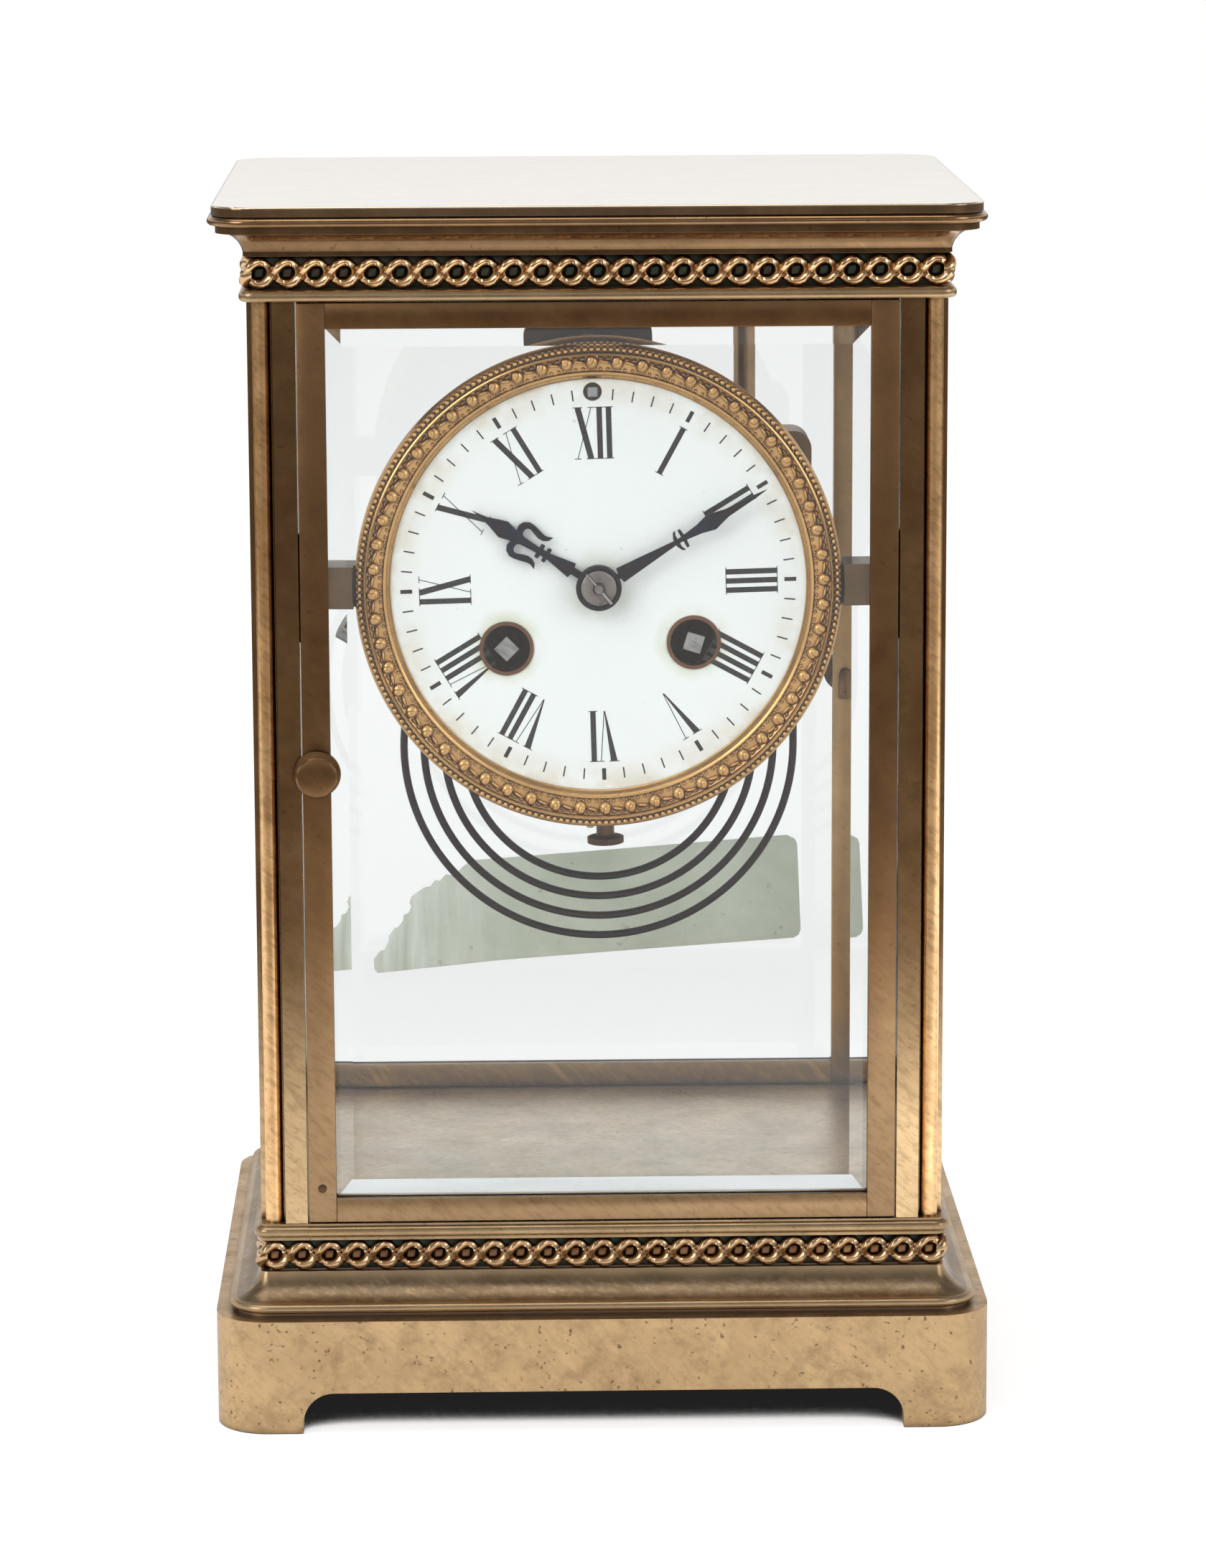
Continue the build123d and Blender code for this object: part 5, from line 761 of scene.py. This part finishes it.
def chain_band(name, node, link_finish, eye_finish):
    """One twisted link, copied along the four sides of the case, over a dark strip."""
    low, high = corners_of(node)
    middle = (low.z + high.z) / 2
    link, crest = chain_link((high.z - low.z) / MM)
    eye = chain_eye(crest)
    places = []
    sides = ((CASE_HALF_Y, CASE_HALF_X, CHAIN_LINKS_FRONT),
             (CASE_HALF_X, CASE_HALF_Y, CHAIN_LINKS_SIDE))
    for quarter, (out, half, count) in enumerate(sides * 2):
        heading = Matrix.Rotation(radians(90 * quarter), 4, "Z")
        for index in range(count):
            along = -half + (index + 0.5) * 2 * half / count
            spot = (along, -out - CHAIN_CREST * MM + crest, middle)
            places.append(heading @ Matrix.Translation(spot))
    links = join(copies(link, places), name)
    eyes = join(copies(eye, places), name + "_eyes")
    strip = chain_strip(low.z + 0.05 * MM, high.z - 0.05 * MM)
    strip.name = name + "_strip"
    dress(links, "case", "chain", link_finish, node)
    dress(eyes, "case", "chain", eye_finish)
    dress(strip, "case", "chain", verdigris)


chain_band("lower_chain_links", "lower_chain", dull_chain_brass, eye_brass)
chain_band("upper_chain_links", "upper_chain", brightened_chain_brass, verdigris)


# Bezel: turned ring with a row of beads and a band of shells and leaves

def grain(radial, tangent, depth, half_length, half_width, half_depth, lean=0, faces=8):
    """A rounded grain of the ornament, at the right of the ring; lean turns it on the face."""
    bpy.ops.mesh.primitive_uv_sphere_add(segments=faces, ring_count=faces - 2, radius=1,
                                         rotation=(0, pi / 2 + radians(lean), 0),
                                         location=mm(radial, depth, tangent),
                                         scale=mm(half_width, half_depth, half_length))
    piece = settle(bpy.context.object)
    bpy.ops.object.shade_smooth()
    return piece


def bezel_shell():
    """A smooth shield with a glinting drop, a tall leaf beside it, scallops towards the dial."""
    grains = [grain(47.45, 0, -1.95, 1.5, 1.5, 1.05),
              grain(47.8, 0.3, -2.88, 0.95, 0.75, 0.28, 20),
              grain(47.5, 2.68, -1.95, 0.42, 1.75, 1.25, 8, 6)]
    for side in (-1, 1):
        grains.append(grain(48.15, side * 1.95, -2.3, 0.22, 0.75, 0.6, side * -14, 6))
    for across in (-1.8, -0.6, 0.6, 1.8):
        grains.append(grain(45.95, across, -1.55, 0.32, 0.42, 0.65, 0, 6))
    return settle(join(grains, "shell"), Matrix.Translation((0, ENAMEL_FACE, 0)))


def dial_bezel():
    face = ENAMEL_FACE / MM
    section = [(SIGHT_RADIUS, 0), (SIGHT_RADIUS, -0.45), (44.1, -0.7), (44.5, -1.5),
               (44.9, -1.85), (45.3, -1.95), (45.6, -1.55), (46.2, -1.6), (47.4, -1.95),
               (48.6, -2.35), (48.85, -2.5), (48.95, -3.6), (49.2, -3.85), (49.5, -3.7),
               (49.65, -2.9), (50.9, -2.85), (51.2, -2.5), (51.3, 1.2), (48.1, 1.2), (48.1, 0),
               (SIGHT_RADIUS, 0)]
    ring = smooth(turned(behind(face, section), 192, solid=False), 40)
    bpy.ops.mesh.primitive_uv_sphere_add(segments=8, ring_count=6, radius=BEAD_RADIUS * MM,
                                         location=mm(50.3, face - 3.15, 0),
                                         rotation=(pi / 2, 0, 0))
    bead = bpy.context.object
    bpy.ops.object.shade_smooth()
    beads = copies(bead, around(BEZEL_BEADS))
    shells = copies(bezel_shell(), around(BEZEL_SHELLS))
    bezel = join([ring] + beads, "gilt_bezel")
    ornament = join(shells, "bezel_ornament")
    settle(bezel, movement_place)
    settle(ornament, movement_place)
    dress(bezel, "case", "bezel", gilt, "bezel")
    dress(ornament, "case", "bezel", gilt)


dial_bezel()


# Dial marks

# For each letter: its advance, its strokes (foot, top, width, narrowing of the foot) and its
# serifs (level, middle, reach)
LETTERS = {
    "I": (1.95, [(0, 0, NUMERAL_BAR, 1)],
          [(NUMERAL_FOOT, 0, 0.95), (NUMERAL_TOP, 0, 0.95)]),
    "V": (4.0, [(0.5, -1.25, NUMERAL_BAR + 0.25, 0.15), (0.6, 1.5, HAIRLINE, 1)],
          [(NUMERAL_TOP, -1.3, 1.1), (NUMERAL_TOP, 1.5, 0.7)]),
    "X": (4.5, [(1.3, -1.3, NUMERAL_BAR + 0.1, 1), (-1.5, 1.5, HAIRLINE, 1)],
          [(NUMERAL_FOOT, 1.3, 1.0), (NUMERAL_TOP, -1.3, 1.0),
           (NUMERAL_FOOT, -1.5, 0.7), (NUMERAL_TOP, 1.5, 0.7)]),
}
HOURS = ("XII", "I", "II", "III", "IIII", "V", "VI", "VII", "VIII", "IX", "X", "XI")


def stroke(start, end, width, foot=1):
    """A painted line between two points of the dial; foot narrows its start."""
    start, end = Vector(start), Vector(end)
    way = end - start
    middle = (start + end) / 2
    lean = Vector((0, 1)).angle_signed(way)
    bpy.ops.mesh.primitive_cube_add(size=1, rotation=(0, lean, 0),
                                    location=(middle.x * MM, ENAMEL_FACE, middle.y * MM),
                                    scale=(width * MM, PAINT * MM, way.length * MM))
    line = bpy.context.object
    if foot < 1:
        for vertex in line.data.vertices:
            if vertex.co.z < 0:
                vertex.co.x *= foot
    return line


def numeral(letters):
    """Strokes of one Roman numeral standing over the dial's centre."""
    strokes = []
    left = -sum(LETTERS[letter][0] for letter in letters) / 2
    for letter in letters:
        advance, bars, serifs = LETTERS[letter]
        middle = left + advance / 2
        for foot, top, width, narrowing in bars:
            strokes.append(stroke((middle + foot, NUMERAL_FOOT), (middle + top, NUMERAL_TOP),
                                  width, narrowing))
        for level, place, reach in serifs:
            strokes.append(stroke((middle + place - reach, level),
                                  (middle + place + reach, level), HAIRLINE))
        left += advance
    return strokes


def minute_mark(minute):
    """A thin stroke for a minute, a thick one for an hour."""
    near, far = MINUTE_MARKS
    if minute % 5:
        return stroke((0, near), (0, far), MINUTE_BAR)
    return stroke((0, near - 0.1), (0, far + 0.1), HOUR_BAR)


def dial_marks():
    pieces = [(30 * hour, mark) for hour, letters in enumerate(HOURS)
              for mark in numeral(letters)]
    pieces += [(6 * minute, minute_mark(minute)) for minute in range(1, 60)]
    for angle, piece in pieces:
        piece.matrix_world = Matrix.Rotation(radians(angle), 4, "Y") @ piece.matrix_basis
    marks = join([piece for angle, piece in pieces], "dial_marks")
    settle(marks, movement_place)
    dress(marks, "case", "dial_enamel", numeral_paint)


dial_marks()


# Hands: flat steel, drawn pointing up from the dial's centre and turned to the time

def hand_place(angle):
    return dial_place @ Matrix.Rotation(radians(angle), 4, "Y")


def back_and_thickness(node):
    """Where a hand's back lies, and how thick it is, in millimetres."""
    low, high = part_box(node)
    return high[1] / MM, (high[1] - low[1]) / MM


def plate(outline, back, thickness, edge=HAND_EDGE):
    """A flat piece of a hand from (across, along) points."""
    return prism([(across, back, along) for across, along in outline], (0, -thickness, 0), edge)


def mirrored(right_side):
    return right_side + [(-across, along) for across, along in reversed(right_side) if across > 0]


def ring_plate(inner, outer, back, thickness):
    section = behind(back, [(inner, 0), (inner, -thickness), (outer - 0.15, -thickness),
                            (outer, 0.15 - thickness), (outer, 0), (inner, 0)])
    return smooth(turned(section, 48, solid=False))


def hour_hand():
    back, thick = back_and_thickness("hour_hand")
    blade = [(0.8, 3.0), (0.8, 6.4), (1.7, 6.6), (0.7, 12.35), (1.6, 12.4), (1.6, 13.2),
             (0.7, 13.25), (0.7, 14.0), (1.6, 14.05), (1.6, 14.9), (0.65, 14.95), (0.85, 18.4),
             (1.25, 20.8), (1.93, 23.4), (1.35, 25.2), (0.5, 27.6), (0.18, 29.6), (0, 31.2)]
    curl = [(0.5, 20.3), (1.3, 20.9), (2.4, 21.1), (3.5, 20.6), (4.15, 19.5), (4.15, 18.3),
            (3.8, 16.9), (3.45, 15.6), (3.4, 14.8), (3.9, 13.5), (2.8, 14.0), (2.2, 15.0),
            (2.15, 16.2), (2.55, 17.4), (2.95, 18.4), (2.85, 19.1), (2.3, 19.5), (1.45, 19.5),
            (0.5, 18.7)]
    parts = [plate(mirrored(blade), back, thick),
             ring_plate(2.35, 4.6, back - HAND_STEP, thick)]
    for side in (-1, 1):
        arm = [(side * across, along) for across, along in curl]
        parts.append(plate(arm, back - HAND_STEP, thick - 2 * HAND_STEP, CURL_EDGE))
    hand = join(parts, "hour_hand_steel")
    settle(hand, hand_place(HOUR_ANGLE))
    dress(hand, "hour_pipe", "hands", blued, "hour_hand")


def minute_hand():
    back, thick = back_and_thickness("minute_hand")
    blade = [(0.55, 2.2), (0.55, 5.0), (1.7, 5.2), (0.5, 18.6), (0.5, 20.3), (2.1, 20.3),
             (2.1, 20.9), (0.6, 21.1), (1.05, 24.5), (1.85, 27.5), (1.3, 29.4), (0.85, 31.2),
             (0.4, 37.8), (0, 41.0)]
    crescent = [(-2.3, 19.9), (-2.1, 19.2), (-0.9, 18.6), (0, 18.45), (0.9, 18.6), (2.1, 19.2),
                (2.3, 19.9), (1.4, 19.45), (0, 19.5), (-1.4, 19.45)]
    parts = [plate(mirrored(blade), back, thick),
             plate(crescent, back - HAND_STEP, thick - 2 * HAND_STEP, CURL_EDGE),
             ring_plate(1.55, 3.2, back - HAND_STEP, thick)]
    hand = join(parts, "minute_hand_steel")
    settle(hand, hand_place(MINUTE_ANGLE))
    dress(hand, "centre_arbor", "hands", blued, "minute_hand")


def collet():
    """Dark washer with a raised rim and a scratched face, and the taper pin across it."""
    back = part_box("hand_collet")[1][1] / MM
    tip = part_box("centre_wheel")[0][1] / MM
    rim = behind(back, [(3.3, -0.05), (4.7, -0.05), (4.8, -0.2), (4.8, -0.75), (4.6, -1.0),
                        (4.2, -1.02), (3.95, -0.85), (3.8, -0.45), (3.3, -0.45),
                        (3.3, -0.05)])
    face = behind(back, [(0.9, -0.5), (3.72, -0.5), (3.72, -0.85), (3.5, -0.98), (1.3, -1.08),
                         (1.1, -0.95), (1.0, -1.0)])
    face += behind(tip, [(0.98, 0.1), (0.8, -0.12), (0.5, -0.15)])
    rim = smooth(turned(rim, 56, solid=False))
    face = smooth(turned(face, 56))
    bpy.ops.mesh.primitive_cone_add(vertices=12, radius1=0.36 * MM, radius2=0.2 * MM,
                                    depth=8.3 * MM, location=(0, (back - 1.6) * MM, 0),
                                    rotation=(0, radians(PIN_ANGLE), 0))
    pin = rounded(bpy.context.object, 0.06)
    for piece, name, finish, stands_for in ((rim, "washer_rim", blued, ("hand_collet",)),
                                            (face, "washer_face", collet_steel, ()),
                                            (pin, "taper_pin", polished_steel, ())):
        piece.name = name
        settle(piece, dial_place)
        dress(piece, "centre_arbor", "hands", finish, *stands_for)


hour_hand()
minute_hand()
collet()


# Knobs of the doors, with shaft and latch tongue

def knob(name, node, body, heading):
    low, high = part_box(node)
    outline = [(0.2, -5.6), (3.0, -5.55), (4.0, -5.3), (4.4, -4.7), (4.35, -4.1), (3.2, -3.0),
               (2.6, -1.6), (3.4, -1.1), (4.8, -0.95), (4.95, -0.5), (4.9, -0.08),
               (1.0, -0.08), (1.0, TONGUE_DEPTH), (0.2, TONGUE_DEPTH)]
    head = smooth(turned(behind(CASE_FACE, outline), 48))
    corners = [(-1.5, 0), (-1.06, 1.06), (0, 1.5), (1.06, 1.06), (1.5, 0), (1.5, -5.6),
               (-1.5, -5.6)]
    corners = [(across, CASE_FACE + TONGUE_DEPTH, up) for across, up in corners]
    tongue = prism(corners, (0, 1.0, 0), 0.12)
    piece = join([head, tongue], name)
    middle = Matrix.Translation(((low[0] + high[0]) / 2, 0, KNOB_HEIGHT * MM))
    settle(piece, middle @ Matrix.Rotation(heading, 4, "Z"))
    dress(piece, body, "knobs", door_brass, node)


knob("front_knob_turned", "front_knob", "front_latch", 0)
knob("rear_knob_turned", "rear_knob", "rear_latch", pi)


def thumb_screw():
    """Knurled screw under the bezel, turned upright about its own axis and stood radially."""
    outline = [(1.4, 45.6), (1.4, 48.05), (2.85, 48.1), (2.85, 50.3), (2.6, 50.5),
               (1.95, 50.6), (1.9, 55.2), (3.5, 55.4), (3.7, 55.6), (3.7, 56.8), (3.45, 57.0),
               (0.3, 57.0)]
    stem = smooth(turned(outline, SCREW_RIDGES))
    bpy.ops.mesh.primitive_cylinder_add(vertices=6, radius=0.24 * MM, depth=1.3 * MM,
                                        rotation=(pi / 2, 0, 0), location=mm(3.68, 56.2, 0))
    ridges = copies(bpy.context.object, around(SCREW_RIDGES))
    piece = join([stem] + ridges, "thumb_screw_knurled")
    low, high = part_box("thumb_screw")
    depth = Matrix.Translation((0, (low[1] + high[1]) / 2, 0))
    settle(piece, movement_place @ depth @ Matrix.Rotation(-pi / 2, 4, "X"))
    dress(piece, "thumb", "thumb_screw", dark_brass, "thumb_screw")


thumb_screw()


# Door frames: two stiles with two rails between them, butted, with a groove for the glass

def bar_section(width):
    """Corners across a bar, from its outer edge to its inner one, with the glass groove."""
    groove = width - GROOVE_DEPTH
    return behind(CASE_FACE, [(0, 0), (width, 0), (width, 1.0), (groove, 1.0), (groove, 3.1),
                              (width, 3.1), (width, 5.0), (0, 5.0)])


def stile_plug():
    """The small dark plug near the foot of the front door's left stile."""
    low, high = corners_in_mm("front_door_frame")
    left = (low.x - high.x) / 2
    section = behind(CASE_FACE, [(0.3, -0.08), (0.85, -0.06), (1.0, 0.02), (1.0, 0.5)])
    plug = smooth(turned(section, 24))
    settle(plug, Matrix.Translation(mm(left + PLUG_PLACE[0], 0, low.z + PLUG_PLACE[1])))
    plug.name = "stile_plug"
    dress(plug, "front_door", "door_frames", dark_brass)


def door_frame(name, node, body, heading, finish):
    low, high = corners_in_mm(node)
    half = (high.x - low.x) / 2
    inner = half - STILE_WIDTH - JOINT_GAP
    bars = []
    for side in (-1, 1):
        corners = [(side * (half - across), depth, low.z)
                   for across, depth in bar_section(STILE_WIDTH)]
        bars.append(prism(corners, (0, 0, high.z - low.z), BAR_EDGE))
    for edge, way, width in ((low.z, 1, BOTTOM_RAIL_WIDTH), (high.z, -1, TOP_RAIL_WIDTH)):
        corners = [(-inner, depth, edge + way * across) for across, depth in bar_section(width)]
        bars.append(prism(corners, (2 * inner, 0, 0), BAR_EDGE))
    piece = join(bars, name)
    settle(piece, Matrix.Rotation(heading, 4, "Z"))
    dress(piece, body, "door_frames", finish, node)


door_frame("front_door_bars", "front_door_frame", "front_door", 0, door_brass)
stile_plug()
door_frame("rear_door_bars", "rear_door_frame", "rear_door", pi, brightened_rear_brass)


# Pale bevel along the foot of the front door's glass, a painted highlight, with mitred ends

def glass_bevel():
    low, high = corners_in_mm("front_door_frame")
    foot = low.z + BOTTOM_RAIL_WIDTH + BEVEL_INSET
    half = (high.x - low.x) / 2 - STILE_WIDTH - BEVEL_INSET
    top = half - BEVEL_MITRE
    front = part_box("front_door_glass")[0][1] / MM - 0.02
    strip = prism([(-half, front, foot), (half, front, foot), (top, front, foot + BEVEL_RISE),
                   (-top, front, foot + BEVEL_RISE)], (0, 0.3, 0), 0.05)
    strip.name = "glass_bevel"
    dress(strip, "front_door", "case_glass", pale_bevel_glass)


glass_bevel()


# Label: a torn strip of paper inside the rear glass, its back a little off the glass

def label():
    low, high = corners_in_mm("rear_label")
    edge = [(1.3, 0), (30.4, 2.9), (60.2, 5.0), (98.6, 7.6), (99.8, 8.3), (100.3, 9.6),
            (99.4, 30.0), (98.9, 31.2), (97.0, 32.2), (60.2, 29.4), (23.7, 26.8), (22.5, 26.2),
            (20.3, 24.2), (19.6, 24.3), (18.5, 23.3), (17.4, 23.5), (16.1, 22.0), (14.9, 22.1),
            (13.8, 20.7), (12.4, 20.4), (10.6, 19.2), (9.4, 18.3), (8.9, 16.9), (9.3, 15.8),
            (8.6, 14.3), (7.5, 13.9), (7.3, 12.4), (6.1, 10.9), (5.4, 10.8), (4.0, 9.0),
            (3.9, 7.6), (2.9, 5.6), (1.8, 5.2), (0.4, 3.4), (0.5, 1.0)]
    corners = [(low.x + across, low.y, low.z + up) for across, up in edge]
    strip = prism(corners, (0, high.y - low.y - LABEL_GAP, 0), 0.01)
    strip.name = "torn_label"
    dress(strip, "rear_door", "label", paper, "rear_label")


label()


# Finishes of the pieces that keep their solids
KEPT = {
    plinth_brass: ("plinth",),
    moulding_brass: ("base_moulding", "upper_ledge"),
    floor_brass: ("floor_plate",),
    pillar_brass: ("front_pillars", "rear_pillars", "side_rails"),
    cornice_brass: ("cornice",),
    top_brass: ("top_plate",),
    movement_brass: ("front_plate", "back_plate", "plate_pillars", "suspension_cock",
                     "dial_plate", "gong_stand"),
    strap_brass: ("strap_left", "strap_right"),
    ring_brass: ("movement_ring",),
    wheel_brass: ("centre_wheel", "hour_wheel", "minute_wheel", "going_barrel", "strike_barrel",
                  "second_wheel", "third_wheel", "escape_wheel", "strike_wheel", "pin_wheel",
                  "fly", "pendulum"),
    arbor_steel_in_shade: ("going_arbor", "strike_arbor"),
    polished_steel: ("regulator_arbor", "cannon_pinion", "clicks", "hammer", "pallets",
                     "front_hinge_pins", "rear_hinge_pins", "fasteners"),
    spring_steel: ("going_mainspring", "strike_mainspring"),
    gong_steel: ("gong",),
    copper: ("dial_eyelets",),
    white_enamel: ("dial",),
    old_glass: ("side_glasses", "front_door_glass", "rear_door_glass"),
}
for finish, nodes in KEPT.items():
    for node in nodes:
        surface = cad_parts[node].data.materials
        for index in range(len(surface)):
            surface[index] = finish
        if not len(surface):
            surface.append(finish)


# Stage: white floor with a soft shadow, partly painted, and a white surround

def studio_floor():
    """White sheet with a contact shadow partly painted from ambient occlusion; metal sees it
    white near the clock and dark far away, brighter at the right, and reaching farther to the
    sides than to the front."""
    bpy.ops.mesh.primitive_grid_add(x_subdivisions=4, y_subdivisions=4, size=6,
                                    location=(0, 0, -0.0002))
    floor = bpy.context.object
    floor.name = "floor"
    sheet = Finish("floor_white")
    sheet.set(rough=0.9, gloss=0.0)
    rays = sheet.rays()
    direct = sheet.math("MAXIMUM", rays["Is Camera Ray"], rays["Is Transmission Ray"])
    # a ray through glass counts as glossy too
    in_metal = sheet.math("SUBTRACT", rays["Is Glossy Ray"], rays["Is Transmission Ray"])
    in_metal = sheet.math("MAXIMUM", in_metal, 0.0)
    # the contact shadow is painted: ambient occlusion darkens the sheet's colour and its glow
    # under and round the clock
    open_air = sheet.ramp(sheet.recess(150, 48), (0.11, 0.0), (0.18, 1.0))
    away = sheet.reach(sheet.place)
    wide = sheet.reach(sheet.mapped(Scale=(0.35, 1, 1)))
    near = sheet.ramp(wide, (0.3, 1.0), (0.44, 0.0))
    beyond = sheet.ramp(wide, (0.17, 0.0), (0.25, 1.0))
    rightwards = sheet.ramp(sheet.math("ADD", sheet.along("X"), 0.5), (0.45, 0.0), (0.6, 1.0))

    lit_sheet = sheet.mix(direct, (0.9, 0.9, 0.9), (0.45, 0.45, 0.45))
    shadow = sheet.mix(open_air, (0.012, 0.01, 0.009), lit_sheet)
    mirrored_sheet = sheet.mix(near, (0.25, 0.21, 0.17), (0.9, 0.9, 0.9))
    sheet.set(base=sheet.mix(in_metal, shadow, mirrored_sheet))

    seen = sheet.product(direct, sheet.ramp(away, (0.1, 0.69), (0.3, 0.57), (0.98, 0.68)))
    brighter = sheet.math("ADD", sheet.product(rightwards, beyond), 0.14)
    mirror = sheet.product(in_metal, sheet.product(near, brighter))
    lit = sheet.product(sheet.math("MAXIMUM", seen, mirror), open_air)
    glow = sheet.nodes.new("ShaderNodeEmission")
    # even the painted shadow keeps this faint glow
    sheet.feed(sheet.math("MAXIMUM", lit, 0.014), glow.inputs["Strength"])
    sheet.surface("ShaderNodeAddShader", glow)
    floor.data.materials.append(sheet.material)


def surround():
    """White to the eye and through glass; metal sees a white wall low down behind the clock and
    a dim room above and before it."""
    world = bpy.data.worlds.new("studio")
    bpy.context.scene.world = world
    world.use_nodes = True
    studio = Nodes(world.node_tree, "Generated")
    backdrop = studio.nodes["Background"]
    backdrop.inputs["Color"].default_value = (1, 1, 1, 1)
    rays = studio.rays()
    direct = studio.math("MAXIMUM", rays["Is Camera Ray"], rays["Is Transmission Ray"])
    wall = studio.ramp(studio.along("Z"), (0.02, 0.14), (0.09, 1.0), (0.36, 1.0), (0.55, 0.22),
                       (1.0, 0.3))
    depth = studio.nodes.new("ShaderNodeMapRange")
    studio.feed(studio.along("Y"), depth.inputs["Value"])
    for end, value in (("From Min", -0.4), ("From Max", 0.4), ("To Min", 0.65), ("To Max", 1.1)):
        depth.inputs[end].default_value = value
    in_metal = studio.product(wall, depth.outputs["Result"])
    level = 0.72
    for seen, strength in ((rays["Is Glossy Ray"], in_metal), (direct, 1.0)):
        choice = studio.nodes.new("ShaderNodeMix")
        studio.feed(seen, choice.inputs[0])
        studio.feed(level, choice.inputs[2])
        studio.feed(strength, choice.inputs[3])
        level = choice.outputs[0]
    studio.feed(level, backdrop.inputs["Strength"])


def lamp(name, place, width, height, watts):
    """A soft lamp turned towards the middle of the clock."""
    light = bpy.data.lights.new(name, "AREA")
    light.shape = "RECTANGLE"
    light.size = width
    light.size_y = height
    light.energy = watts
    holder = bpy.data.objects.new(name, light)
    bpy.context.collection.objects.link(holder)
    ahead = Vector((0, 0, 0.14)) - Vector(place)
    holder.location = place
    holder.rotation_euler = ahead.to_track_quat("-Z", "Y").to_euler()


def camera():
    yaw, pitch, roll = (radians(angle) for angle in (CAMERA_YAW, CAMERA_PITCH, CAMERA_ROLL))
    ahead = Vector((sin(yaw) * cos(pitch), cos(yaw) * cos(pitch), -sin(pitch)))
    level = Vector((cos(yaw), -sin(yaw), 0))
    up = level.cross(ahead)
    right = cos(roll) * level + sin(roll) * up
    top = cos(roll) * up - sin(roll) * level
    view = bpy.data.cameras.new("camera")
    view.sensor_fit = "VERTICAL"
    view.sensor_height = SENSOR_HEIGHT
    view.lens = SENSOR_HEIGHT * FOCAL_PIXELS / PHOTO_HEIGHT
    view.clip_start = 0.05
    view.clip_end = 50
    holder = bpy.data.objects.new("camera", view)
    bpy.context.collection.objects.link(holder)
    turn = Matrix((right, top, -ahead)).transposed().to_4x4()
    holder.matrix_world = Matrix.Translation(mm(*CAMERA_PLACE)) @ turn
    bpy.context.scene.camera = holder


studio_floor()
surround()
lamp("overhead_lamp", (-0.2, -0.1, 1.5), 1.2, 1.0, 7)
lamp("left_lamp", (-1.1, -1.2, 1.0), 0.8, 1.0, 9)
lamp("right_lamp", (1.2, -1.0, 0.8), 0.7, 0.9, 4.5)
camera()
bpy.context.scene.view_settings.view_transform = "Standard"
